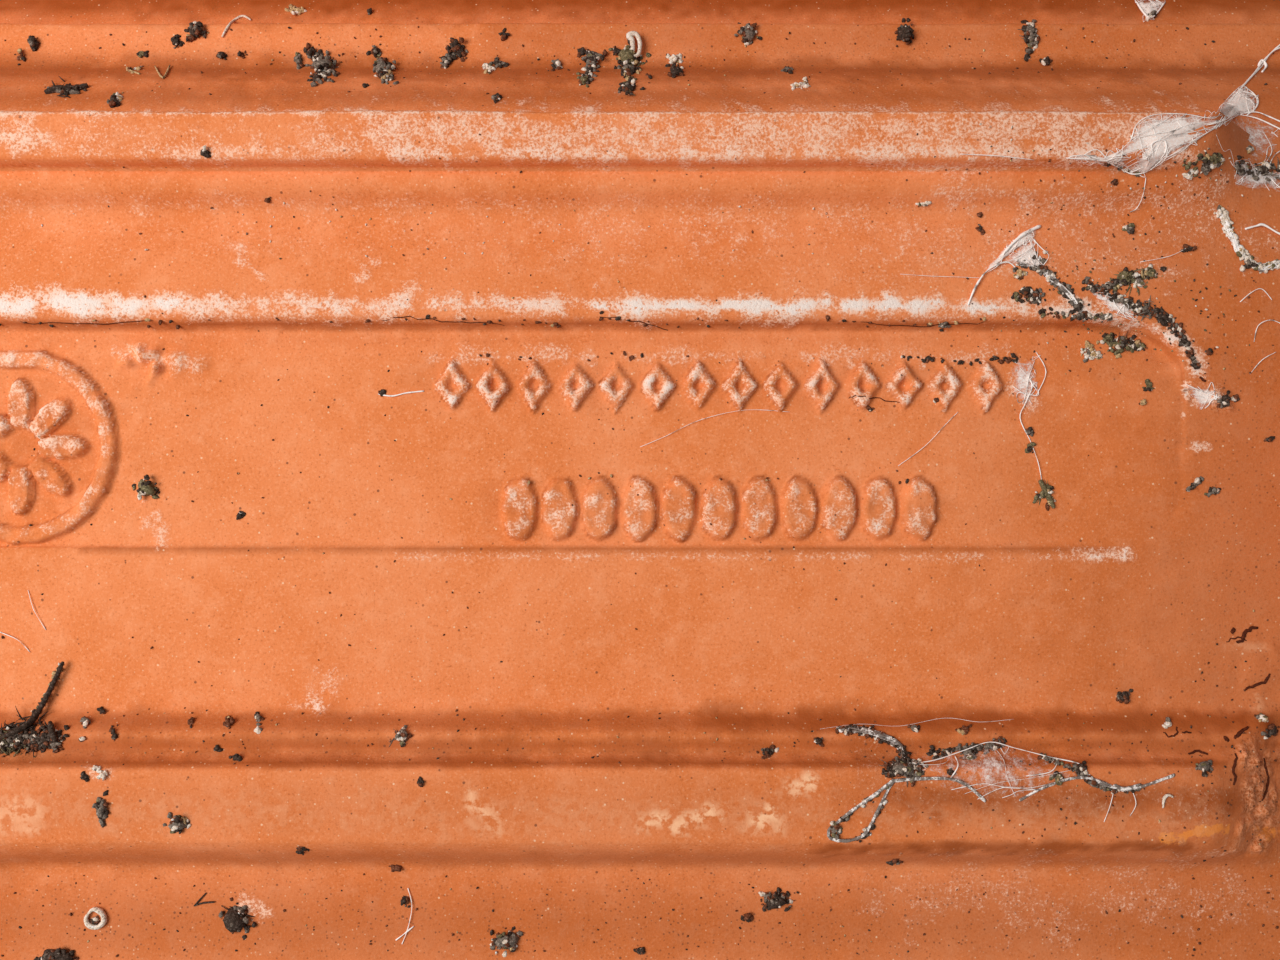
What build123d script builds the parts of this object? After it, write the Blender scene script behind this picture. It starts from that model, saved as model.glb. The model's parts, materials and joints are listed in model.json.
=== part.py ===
"""A clay roof tile: an interlocking pantile with a hollow roll, lying with its underside up."""

from build123d import *
import math
import os

# Whole tile
tile_length = 420.0
cover_length = 340.0  # from one course to the next
cover_width = 206.0  # from one tile to the next beside it
clay = 11.0  # thickness of the trough and of the roll

# Curve of the front. Places across the tile are measured from the trough's low line,
# and heights are measured up from the battens, as the tile is laid.
shallow_radius = 800.0  # trough, on the side lock's side of the low line
sweep_radius = 60.0  # trough, where it turns up into the roll
roll_radius = 52.0
roll_rise = 42.5  # roll's crest above the low line
lip_height = 20.5  # roll's free edge

# Side lock: three ribs with two grooves between them
outer_rib = 7.0
water_groove = 10.0
middle_rib = 7.0
cover_groove = 12.0
inner_rib = 6.0
groove_draft = 1.0
shoulder_run = 3.0
lock_underside = 7.5
lock_floor = 8.5
lock_rib_rise = 11.0  # outer and middle rib above the grooves
inner_rib_rise = 6.5

# Cover rib inside the roll, which drops into the next tile's cover groove
cover_rib_reach = 24.2  # beyond the roll's crest
cover_rib_clearance = 2.0
cover_rib_gap = 3.0
cover_rib_draft = 1.5

# Two long ribs under the trough, each with a ledge on its inner flank
rib_height = 4.5  # at the low line
rib_ledge_drop = 3.2
lock_rib_top = 12.7
lock_rib_outer_flank = 5.0
lock_rib_slope = 2.5
lock_rib_ledge = 2.4
lock_rib_foot = 2.8
roll_rib_edge = 35.4  # low line to the outer edge of the rib beside the roll
roll_rib_top = 7.6
roll_rib_outer_flank = 1.0
roll_rib_slope = 1.2
roll_rib_ledge = 3.6
roll_rib_foot = 1.0
rib_head_end = 134.0  # from the tile's middle towards its head
rib_foot_end = 118.0  # from the tile's middle towards its foot
rib_ramp = 14.0

# Small rib inside the hollow of the roll
hollow_rib_place = 62.0
hollow_rib_top = 5.0
hollow_rib_near_flank = 4.5  # towards the trough
hollow_rib_far_flank = 2.0  # towards the roll's crest
hollow_rib_depth = 5.5
hollow_rib_head_end = 172.0  # from the tile's middle towards its head

# Sunk panel between the two long ribs
panel_length = 262.0
panel_roll_edge = 3.1
panel_lock_edge = 34.7
panel_corner = 10.0
panel_deep = 3.2
panel_shallow = 0.8
panel_draft = 1.4  # how far the walls lean out over the deep edge's height

# Nib that hangs on the batten
nib_bearing = 165.0  # from the tile's middle to the face that bears on the batten
nib_place = 28.0  # from the low line towards the side lock
nib_width = 34.0
nib_root = 20.0
nib_tip = 12.0
nib_height = 16.0

# Head lock across the front, and the ribs under the foot that drop into it
head_edge = 8.0
head_groove = 12.0
head_rib = 6.0
head_groove_depth = 4.0
head_groove_count = 2
head_lock_turn = 38.0  # how far it runs past the crest, in degrees
foot_rib_clearance = 2.5
foot_rib_gap = 1.0

# Corners cut away where four tiles meet
lock_corner_length = 74.0
lip_corner_length = 74.0
lip_corner_width = 33.0

# How far added clay reaches into the body, and how far a cut reaches past it
root = 3.0
past = 20.0

# Derived places
front_low = rib_height + clay
turn = math.degrees(math.acos(1 - roll_rise / (sweep_radius + roll_radius)))
crest = (sweep_radius + roll_radius) * math.sin(math.radians(turn))
crest_height = front_low + roll_rise
shallow_centre = (0.0, front_low + shallow_radius)
sweep_centre = (0.0, front_low + sweep_radius)
roll_centre = (crest, crest_height - roll_radius)
lock_width = outer_rib + water_groove + middle_rib + cover_groove + inner_rib
cover_rib_place = crest + cover_rib_reach
trough_reach = cover_width - cover_rib_place - inner_rib - cover_groove / 2  # low line to the side lock
lock_edge = trough_reach + lock_width
groove_height = lock_underside + lock_floor
lock_rib_height = groove_height + lock_rib_rise
head = tile_length / 2
foot = -tile_length / 2


def on_circle(centre, radius, degrees):
    """The section point at an angle from straight up, turning towards the roll's free edge."""
    angle = math.radians(degrees)
    return (centre[0] + radius * math.sin(angle), centre[1] + radius * math.cos(angle))


def height_at(across, depth):
    """The height of the surface that lies at a depth below the front."""
    if across <= 0:
        centre, radius = shallow_centre, shallow_radius + depth
    elif across <= (sweep_radius + depth) * math.sin(math.radians(turn)):
        centre, radius = sweep_centre, sweep_radius + depth
    else:
        centre, radius = roll_centre, depth - roll_radius
    return centre[1] - math.copysign(math.sqrt(radius**2 - (across - centre[0]) ** 2), radius)


def underside(across):
    """The height of the plain underside."""
    return height_at(across, clay)


def place(point):
    """A section point in space. The underside is up, so heights run down."""
    return (0.0, point[0], -point[1])


def arc(centre, radius, start, end):
    """An arc of the section between two angles."""
    return ThreePointArc(
        place(on_circle(centre, radius, start)),
        place(on_circle(centre, radius, (start + end) / 2)),
        place(on_circle(centre, radius, end)),
    )


def contour(depth, start, end):
    """The tile's curve at a depth below the front, from a place across to an angle past the crest."""
    shallow = shallow_radius + depth
    start_angle = 180 - math.degrees(math.asin(start / shallow))
    return [
        arc(shallow_centre, shallow, start_angle, 180),
        arc(sweep_centre, sweep_radius + depth, 180, 180 - turn),
        arc(roll_centre, roll_radius - depth, -turn, end),
    ]


def lip_angle(depth):
    """Where the curve at a depth reaches the roll's free edge."""
    return math.degrees(math.acos((lip_height - roll_centre[1]) / (roll_radius - depth)))


def prism(edges, start, end):
    """A closed section run along the tile from one place to another."""
    face = Face(Wire(edges))
    return Pos(start, 0, 0) * extrude(face, amount=end - start, dir=(1, 0, 0))


def section_lines(points):
    """Straight edges through section points."""
    return Polyline(*[place(point) for point in points]).edges()


def section_loop(points):
    """A closed outline through section points."""
    return Polyline(*[place(point) for point in points], close=True).edges()


def band(shallow_depth, deep_depth, start, end):
    """The outline between two depths of the tile's curve."""
    near = contour(shallow_depth, start, end)
    far = contour(deep_depth, start, end)
    return [
        *near,
        *far,
        Line(near[0] @ 0, far[0] @ 0),
        Line(near[-1] @ 1, far[-1] @ 1),
    ]


def make_body():
    """The trough, the roll and the side lock as one plain section."""
    front = contour(0, shoulder_run - trough_reach, lip_angle(0))
    back = contour(clay, -trough_reach, lip_angle(clay))
    lock = [(-trough_reach, underside(-trough_reach)), (-trough_reach, lock_underside)]
    lock += [(-lock_edge, lock_underside), (-lock_edge, lock_rib_height)]
    across = outer_rib - lock_edge
    for groove, rib, rib_top in (
        (water_groove, middle_rib, lock_rib_height),
        (cover_groove, inner_rib, groove_height + inner_rib_rise),
    ):
        lock.append((across, lock[-1][1]))
        lock.append((across + groove_draft, groove_height))
        lock.append((across + groove - groove_draft, groove_height))
        lock.append((across + groove, rib_top))
        across += groove + rib
    lock.append((-trough_reach, groove_height + inner_rib_rise))
    start = shoulder_run - trough_reach
    lock.append((start, height_at(start, 0)))
    lip = Line(front[-1] @ 1, back[-1] @ 1)
    return prism([*front, lip, *back, *section_lines(lock)], foot, head)


def make_cover_rib():
    """The rib inside the roll that sits in the next tile's cover groove."""
    middle = cover_rib_place
    half = cover_groove / 2 - groove_draft - cover_rib_clearance
    tip = groove_height + cover_rib_gap
    points = [(middle - half, tip), (middle + half, tip)]
    for edge in (half + cover_rib_draft, -half - cover_rib_draft):
        points.append((middle + edge, underside(middle + edge) + root))
    return prism(section_loop(points), foot, head)


def with_ramps(rib, reach):
    """A long rib with its two ends ramped down into the underside."""
    run = rib_ramp * (reach + root) / reach
    side = Polyline(
        (-rib_foot_end - run, 0, -reach - root),
        (-rib_foot_end, 0, 0),
        (rib_head_end, 0, 0),
        (rib_head_end + run, 0, -reach - root),
        close=True,
    )
    return rib & extrude(Face(Wire(side.edges())), amount=lock_edge + crest, both=True)


def make_lock_side_rib():
    """The broad rib under the trough, beside the side lock."""
    top = lock_rib_top - trough_reach
    ledge = top + lock_rib_slope
    slope = ledge + lock_rib_ledge
    base = slope + lock_rib_foot
    points = [
        (-trough_reach - lock_rib_outer_flank, lock_underside + root),
        (-trough_reach - lock_rib_outer_flank, lock_underside),
        (-trough_reach, 0),
        (top, 0),
        (ledge, rib_ledge_drop),
        (slope, rib_ledge_drop),
        (base, underside(base)),
        (base, underside(base) + root),
    ]
    return with_ramps(prism(section_loop(points), foot, head), underside(base))


def make_roll_side_rib():
    """The narrow rib under the trough, beside the hollow of the roll."""
    top = roll_rib_edge - roll_rib_top
    ledge = top - roll_rib_slope
    slope = ledge - roll_rib_ledge
    base = slope - roll_rib_foot
    outer = roll_rib_edge + roll_rib_outer_flank
    points = [
        (base, underside(base) + root),
        (base, underside(base)),
        (slope, rib_ledge_drop),
        (ledge, rib_ledge_drop),
        (top, 0),
        (roll_rib_edge, 0),
        (outer, underside(outer)),
        (outer, underside(outer) + root),
    ]
    return with_ramps(prism(section_loop(points), foot, head), underside(outer))


def make_hollow_rib():
    """The small rib along the inside of the roll."""
    tip = underside(hollow_rib_place) - hollow_rib_depth
    near = hollow_rib_place - hollow_rib_top / 2
    far = hollow_rib_place + hollow_rib_top / 2
    near_base = near - hollow_rib_near_flank
    far_base = far + hollow_rib_far_flank
    points = [
        (near_base, underside(near_base) + root),
        (near_base, underside(near_base)),
        (near, tip),
        (far, tip),
        (far_base, underside(far_base)),
        (far_base, underside(far_base) + root),
    ]
    return prism(section_loop(points), -rib_foot_end, hollow_rib_head_end)


def make_nib():
    """The nib that hooks over the batten, with an upright bearing face."""
    base = -underside(-nib_place) - root
    side = Polyline(
        (nib_bearing, 0, base),
        (nib_bearing, 0, nib_height),
        (nib_bearing + nib_tip, 0, nib_height),
        (nib_bearing + nib_root, 0, base),
        close=True,
    )
    block = extrude(Face(Wire(side.edges())), amount=nib_width / 2, both=True)
    return Pos(0, -nib_place, 0) * block


def make_panel():
    """The space of the sunk panel, whose floor slopes from its deep edge to its shallow one."""
    deep = underside(panel_roll_edge) + panel_deep
    shallow = underside(-panel_lock_edge) + panel_shallow
    above_floor = [
        (panel_roll_edge + past, -past),
        (panel_roll_edge + past, deep),
        (panel_roll_edge, deep),
        (-panel_lock_edge, shallow),
        (-panel_lock_edge - past, shallow),
        (-panel_lock_edge - past, -past),
    ]
    floor_side = prism(section_loop(above_floor), foot, head)
    width = panel_roll_edge + panel_lock_edge
    middle = panel_roll_edge - width / 2
    lean = panel_draft * (panel_deep + root) / panel_deep
    rim = RectangleRounded(panel_length, width, panel_corner)
    low = RectangleRounded(panel_length - 2 * lean, width - 2 * lean, panel_corner - lean)
    rim_height = underside(panel_roll_edge)
    rim_face = Pos(0, middle, -rim_height) * rim
    walls = loft([rim_face, Pos(0, middle, -rim_height - panel_deep - root) * low])
    return (walls + extrude(rim_face, amount=past)) & floor_side


def head_groove_middles():
    """The middle of each groove across the head, counted from the head edge."""
    first = head - head_edge - head_groove / 2
    return [first - i * (head_groove + head_rib) for i in range(head_groove_count)]


def make_head_grooves():
    """The space of the grooves across the front at the head."""
    outline = band(-root, head_groove_depth, shoulder_run - trough_reach, head_lock_turn)
    half = head_groove / 2
    return [prism(outline, middle - half, middle + half) for middle in head_groove_middles()]


def make_foot_ribs():
    """The ribs across the underside that drop into the head lock of the tile below."""
    reach = head_groove_depth - foot_rib_gap
    outline = band(clay - root, clay + reach, shoulder_run - trough_reach, head_lock_turn)
    half = head_groove / 2 - foot_rib_clearance
    middles = [middle - cover_length for middle in head_groove_middles()]
    return [prism(outline, middle - half, middle + half) for middle in middles]


def make_corner_cuts():
    """The spaces cut from the side lock at the foot and from the roll's lip at the head."""
    height = 2 * (crest_height + past)
    low = (Align.MIN, Align.MAX, Align.CENTER)
    high = (Align.MAX, Align.MIN, Align.CENTER)
    lock_block = Box(lock_corner_length + past, lock_width + past, height, align=low)
    lip_block = Box(lip_corner_length + past, lip_corner_width + past, height, align=high)
    lip_edge = on_circle(roll_centre, roll_radius, lip_angle(0))[0]
    return [
        Pos(foot - past, -trough_reach - lock_rib_outer_flank, 0) * lock_block,
        Pos(head + past, lip_edge - lip_corner_width, 0) * lip_block,
    ]


def rest_tilt():
    """The slope of a floor that touches the roll's crest and the side lock's outer rib."""
    run = crest + lock_edge
    rise = roll_centre[1] - lock_rib_height
    return math.degrees(math.atan2(rise, run) + math.asin(roll_radius / math.hypot(run, rise)))


def make_tile():
    """The fired tile, laid on a floor with its underside up and its foot of origin at the middle."""
    tile = make_body() + [make_cover_rib(), make_lock_side_rib(), make_roll_side_rib()]
    tile += [make_hollow_rib(), make_nib(), *make_foot_ribs()]
    tile -= [make_panel(), *make_head_grooves(), *make_corner_cuts()]
    tile = Rot(rest_tilt(), 0, 0) * tile
    box = tile.bounding_box()
    return Pos(-box.center().X, -box.center().Y, -box.min.Z) * tile


os.makedirs("parts", exist_ok=True)
export_step(make_tile(), "parts/clay_roof_tile.step")
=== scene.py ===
"""The looks of a clay roof tile that lies with its underside up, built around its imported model."""

import json
import logging
import math
from dataclasses import dataclass, field
from enum import Enum, IntEnum
from typing import Callable, Iterable, Sequence

import bmesh
import bpy
import numpy as np
from bmesh.types import BMEdge, BMesh, BMFace, BMVert
from mathutils import Matrix, Vector, noise
from mathutils.bvhtree import BVHTree


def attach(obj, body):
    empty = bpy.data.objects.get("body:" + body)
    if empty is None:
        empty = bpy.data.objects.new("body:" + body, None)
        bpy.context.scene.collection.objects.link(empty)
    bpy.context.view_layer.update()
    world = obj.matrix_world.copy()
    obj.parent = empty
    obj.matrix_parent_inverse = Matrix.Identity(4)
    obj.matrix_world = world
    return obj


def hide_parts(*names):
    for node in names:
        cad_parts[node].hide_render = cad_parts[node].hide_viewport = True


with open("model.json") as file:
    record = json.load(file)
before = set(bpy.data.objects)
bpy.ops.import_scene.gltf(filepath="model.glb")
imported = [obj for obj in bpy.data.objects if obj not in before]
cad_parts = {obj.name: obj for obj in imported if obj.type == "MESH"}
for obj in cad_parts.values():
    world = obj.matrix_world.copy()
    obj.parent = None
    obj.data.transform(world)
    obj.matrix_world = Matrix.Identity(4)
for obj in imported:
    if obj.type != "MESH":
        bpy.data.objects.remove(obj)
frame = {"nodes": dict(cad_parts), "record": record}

log = logging.getLogger("tile")

NODE = "clay_roof_tile"
BODY = "root"
MM = 0.001


@dataclass(frozen=True)
class TilePlaces:
    """Places on the tile in metres: along it towards the head, across it from the trough's low line
    towards the roll, and out of the underside from the tops of the two long ribs."""

    matrix: Matrix

    @classmethod
    def from_record(cls, record: dict) -> "TilePlaces":
        """Finds the tile's own directions from its mounts.

        Args:
            record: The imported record.

        Returns:
            The places, with the origin on the low line at the middle of the tile.
        """
        mounts = {mount["name"]: mount for mount in record["mounts"]}
        out = Vector(mounts["batten_face"]["axis"]).normalized()
        along = Vector((1, 0, 0))
        across = out.cross(along)
        rib_top = Vector(mounts["batten_face"]["pos_m"])
        low_line = Vector(mounts["head_lock"]["pos_m"])
        origin = out * rib_top.dot(out) + across * low_line.dot(across)
        rows = [(*row, shift) for row, shift in zip(zip(along, across, out), origin)]
        return cls(Matrix((*rows, (0, 0, 0, 1))))

    def world(self, along: float, across: float, out: float) -> Vector:
        """A place of the tile in the row frame."""
        return self.matrix @ Vector((along, across, out))


@dataclass(frozen=True)
class CloseView:
    """The camera that looks straight at the underside, as the photograph was taken."""

    places: TilePlaces
    width_px: float = 1280.0
    height_px: float = 960.0
    px_per_metre: float = 6300.0
    distance: float = 0.155
    middle_along: float = 0.042
    middle_across: float = -0.0233

    def eye(self) -> Vector:
        """The camera's place."""
        return self.places.world(self.middle_along, self.middle_across, self.distance)

    def rib_plane(self, x_px: float, y_px: float) -> tuple[float, float]:
        """The place that a pixel shows on the plane of the rib tops.

        Args:
            x_px: Pixels from the left.
            y_px: Pixels from the top.

        Returns:
            The place along and across the tile.
        """
        along = self.middle_along + (x_px - self.width_px / 2) / self.px_per_metre
        across = self.middle_across + (self.height_px / 2 - y_px) / self.px_per_metre
        return along, across

    def pixels(self, spots: np.ndarray) -> tuple[np.ndarray, np.ndarray]:
        """The pixels that show some places of the tile.

        Args:
            spots: A row for each place: along, across and out.

        Returns:
            Their pixels from the left and from the top.
        """
        scale = self.distance / (self.distance - spots[:, 2]) * self.px_per_metre
        x = self.width_px / 2 + (spots[:, 0] - self.middle_along) * scale
        y = self.height_px / 2 - (spots[:, 1] - self.middle_across) * scale
        return x, y

    def add_camera(self) -> None:
        """Adds the camera and makes it the scene's."""
        data = bpy.data.cameras.new("close_camera")
        data.sensor_width = 36.0
        half_width = self.width_px / 2 / self.px_per_metre
        data.lens = data.sensor_width / 2 * self.distance / half_width
        data.clip_start = 0.005
        data.clip_end = 20.0
        camera = bpy.data.objects.new("close_camera", data)
        bpy.context.scene.collection.objects.link(camera)
        turn = self.places.matrix.to_3x3().to_4x4()
        camera.matrix_world = Matrix.Translation(self.eye()) @ turn
        bpy.context.scene.camera = camera


@dataclass(frozen=True)
class Window:
    """A stretch of the tile, in metres along and across it."""

    along: tuple[float, float]
    across: tuple[float, float]

    def holds(self, place: Vector) -> bool:
        """Whether a place of the tile lies inside."""
        in_length = self.along[0] <= place.x <= self.along[1]
        return in_length and self.across[0] <= place.y <= self.across[1]


def sweep_cut(bm: BMesh, faces: Iterable[BMFace], axis: int,
              cuts: Sequence[float], snap: float) -> None:
    """Cuts faces along evenly spaced planes, passing on only the faces that each plane meets.

    Args:
        bm: The mesh.
        faces: The faces to cut.
        axis: The axis that the planes are square to.
        cuts: Where the planes lie, in rising order.
        snap: How near a vertex may lie to a plane and still count as on it.
    """
    normal = Vector((0, 0, 0))
    normal[axis] = 1

    def reach(face: BMFace) -> tuple[float, float]:
        """The lowest and highest place of a face along the axis."""
        places = [vert.co[axis] for vert in face.verts]
        return min(places), max(places)

    waiting = sorted(((*reach(face), face) for face in faces), key=lambda item: -item[0])
    active = []
    for cut in cuts:
        while waiting and waiting[-1][0] < cut - snap:
            active.append(waiting.pop()[2])
        active = [face for face in active if reach(face)[1] > cut + snap]
        if not active:
            continue
        verts = {vert for face in active for vert in face.verts}
        edges = {edge for face in active for edge in face.edges}
        plane = Vector((0, 0, 0))
        plane[axis] = cut
        made = bmesh.ops.bisect_plane(bm, geom=[*verts, *edges, *active], dist=snap,
                                      plane_co=plane, plane_no=normal)
        active = [item for item in made["geom"] if isinstance(item, BMFace)]


def cut_places(low: float, high: float, step: float, creases: Iterable[float] = (),
               support: float = 0.0, least: float = 0.4 * MM) -> list[float]:
    """Places to cut at: one on either side of each crease, and evenly spaced ones in between.

    Args:
        low: The start of the stretch.
        high: Its end.
        step: The widest spacing.
        creases: Where edges run across the axis.
        support: How far on either side of a crease its cuts lie.
        least: The narrowest spacing.

    Returns:
        The places in rising order, without the ends.
    """
    marks = [low]
    sides = sorted(crease + shift for crease in creases for shift in (-support, support))
    for side in [*sides, high]:
        if marks[-1] + least < side <= high:
            marks.append(side)
    places = []
    for start, end in zip(marks, marks[1:]):
        count = max(1, math.ceil((end - start) / step - 0.25))
        places += [start + (end - start) * number / count for number in range(1, count + 1)]
    return places[:-1]


Colour = tuple[float, float, float]


class Value:
    """A number that flows through a material; arithmetic on it adds the nodes."""

    def __init__(self, look: "Look", socket: bpy.types.NodeSocket) -> None:
        self.look = look
        self.socket = socket

    def maths(self, operation: str, first: "Value | float", second: "Value | float") -> "Value":
        """Adds one Math node."""
        settings = {"operation": operation}
        return self.look.value("ShaderNodeMath", settings, {0: first, 1: second})

    def __add__(self, other: "Value | float") -> "Value":
        return self.maths("ADD", self, other)

    __radd__ = __add__

    def __mul__(self, other: "Value | float") -> "Value":
        return self.maths("MULTIPLY", self, other)

    __rmul__ = __mul__

    def __sub__(self, other: "Value | float") -> "Value":
        return self.maths("SUBTRACT", self, other)

    def __rsub__(self, other: "Value | float") -> "Value":
        return self.maths("SUBTRACT", other, self)

    def size(self) -> "Value":
        """The value without its sign."""
        return self.maths("ABSOLUTE", self, 0.0)

    def most(self, other: "Value | float") -> "Value":
        """The larger of the two."""
        return self.maths("MAXIMUM", self, other)

    def ramp(self, low: float, high: float) -> "Value":
        """Rises smoothly from 0 to 1, or falls where low is the larger.

        Args:
            low: Where it is 0.
            high: Where it is 1.

        Returns:
            The number from 0 to 1.
        """
        settings = {"interpolation_type": "SMOOTHSTEP", "clamp": True}
        inputs = {"Value": self, "From Min": low, "From Max": high}
        if low > high:
            inputs = {"Value": self, "From Min": high, "From Max": low, "To Min": 1.0, "To Max": 0.0}
        return self.look.value("ShaderNodeMapRange", settings, inputs)


@dataclass(frozen=True)
class Grain:
    """Smooth noise: its size in millimetres, its finer layers, their strength and its own shift."""

    size: float
    detail: float
    rough: float
    shift: float


@dataclass(frozen=True)
class Specks:
    """Round specks: the spacing in millimetres of the places that may hold one, the share of them
    that do, a speck's radius in shares of the spacing, and their own shift."""

    spacing: float
    share: float
    reach: float
    shift: float


class Look:
    """A material under construction."""

    def __init__(self, name: str) -> None:
        self.material = bpy.data.materials.new(name)
        self.material.use_nodes = True
        self.tree = self.material.node_tree
        self.shader = self.tree.nodes["Principled BSDF"]
        place = self.node("ShaderNodeTexCoord", {}, {}).outputs["Object"]
        in_mm = self.node("ShaderNodeMapping", {}, {"Vector": place, "Scale": (1 / MM, 1 / MM, 1 / MM)})
        self.place = in_mm.outputs["Vector"]

    def node(self, kind: str, settings: dict, inputs: dict) -> bpy.types.Node:
        """Adds a node.

        Args:
            kind: The node's type.
            settings: Its properties.
            inputs: Its inputs by name or number: values, numbers, vectors or sockets.

        Returns:
            The node.
        """
        made = self.tree.nodes.new(kind)
        for name, setting in settings.items():
            setattr(made, name, setting)
        for name, given in inputs.items():
            self.feed(made.inputs[name], given)
        return made

    def feed(self, socket: bpy.types.NodeSocket, given) -> None:
        """Links or sets one input.

        Args:
            socket: The input.
            given: A value or socket to link, or a setting.
        """
        if isinstance(given, Value):
            given = given.socket
        if isinstance(given, bpy.types.NodeSocket):
            self.tree.links.new(given, socket)
        else:
            socket.default_value = given

    def value(self, kind: str, settings: dict, inputs: dict, output: str | int = 0) -> Value:
        """Adds a node and hands on one of its outputs."""
        return Value(self, self.node(kind, settings, inputs).outputs[output])

    def moved(self, shift: float) -> bpy.types.NodeSocket:
        """The place in millimetres, moved to set one pattern apart from another."""
        inputs = {"Vector": self.place, "Location": (shift, shift, shift)}
        return self.node("ShaderNodeMapping", {}, inputs).outputs["Vector"]

    def grain(self, kind: Grain) -> Value:
        """Smooth noise about a half."""
        inputs = {"Vector": self.moved(kind.shift), "Scale": 1 / kind.size}
        inputs |= {"Detail": kind.detail, "Roughness": kind.rough}
        return self.value("ShaderNodeTexNoise", {}, inputs)

    def specks(self, kind: Specks) -> Value:
        """Adds scattered round specks.

        Args:
            kind: Which specks.

        Returns:
            1 on a speck and 0 between them.
        """
        inputs = {"Vector": self.moved(kind.shift), "Scale": 1 / kind.spacing}
        points = self.node("ShaderNodeTexVoronoi", {}, inputs)
        chance = self.value("ShaderNodeSeparateColor", {}, {"Color": points.outputs["Color"]}, "Red")
        near = Value(self, points.outputs["Distance"])
        return near.ramp(kind.reach, kind.reach / 2) * chance.ramp(1 - kind.share, 1.02 - kind.share)

    def painted(self, mask: str) -> Value:
        """A mask that the mesh carries at its vertices."""
        return self.value("ShaderNodeAttribute", {"attribute_name": mask}, {}, "Fac")

    def mix(self, amount: "Value | float", first, second) -> bpy.types.NodeSocket:
        """A colour between two colours."""
        colours = {6: self.colour(first), 7: self.colour(second), 0: amount}
        return self.node("ShaderNodeMix", {"data_type": "RGBA"}, colours).outputs[2]

    @staticmethod
    def colour(given):
        """A colour with its fourth part, or a socket as it is."""
        return given if isinstance(given, bpy.types.NodeSocket) else (*given, 1.0)

    def finish(self, colour, roughness: "Value | float", height: "Value | None" = None,
               depth: float = 0.1 * MM, gloss: float = 0.2) -> bpy.types.Material:
        """Feeds the shader.

        Args:
            colour: The base colour.
            roughness: The roughness.
            height: A relief, where there is one.
            depth: How high a relief of 1 stands.
            gloss: How strongly it reflects.

        Returns:
            The material.
        """
        self.feed(self.shader.inputs["Base Color"], self.colour(colour))
        self.feed(self.shader.inputs["Roughness"], roughness)
        self.feed(self.shader.inputs["Specular IOR Level"], gloss)
        if height is not None:
            bump = self.node("ShaderNodeBump", {}, {"Height": height, "Distance": depth, "Strength": 1.0})
            self.feed(self.shader.inputs["Normal"], bump.outputs["Normal"])
        return self.material


class Mask(Enum):
    """What the tile's mesh carries at its vertices for the clay's colour: real marks, painted shade and
    painted light.
    """

    # Salt bloom, and a painted highlight along the upper rib's edge.
    SALT = "salt"
    SHADE = "shade"
    # Worn spots, and painted light on two raised patches beside the flap.
    WEAR = "wear"
    RUST = "rust"
    # Torn clay, and painted light on the lower rib's end where the lamp leaves it dark.
    TORN = "torn"
    PITTED = "pitted"


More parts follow.
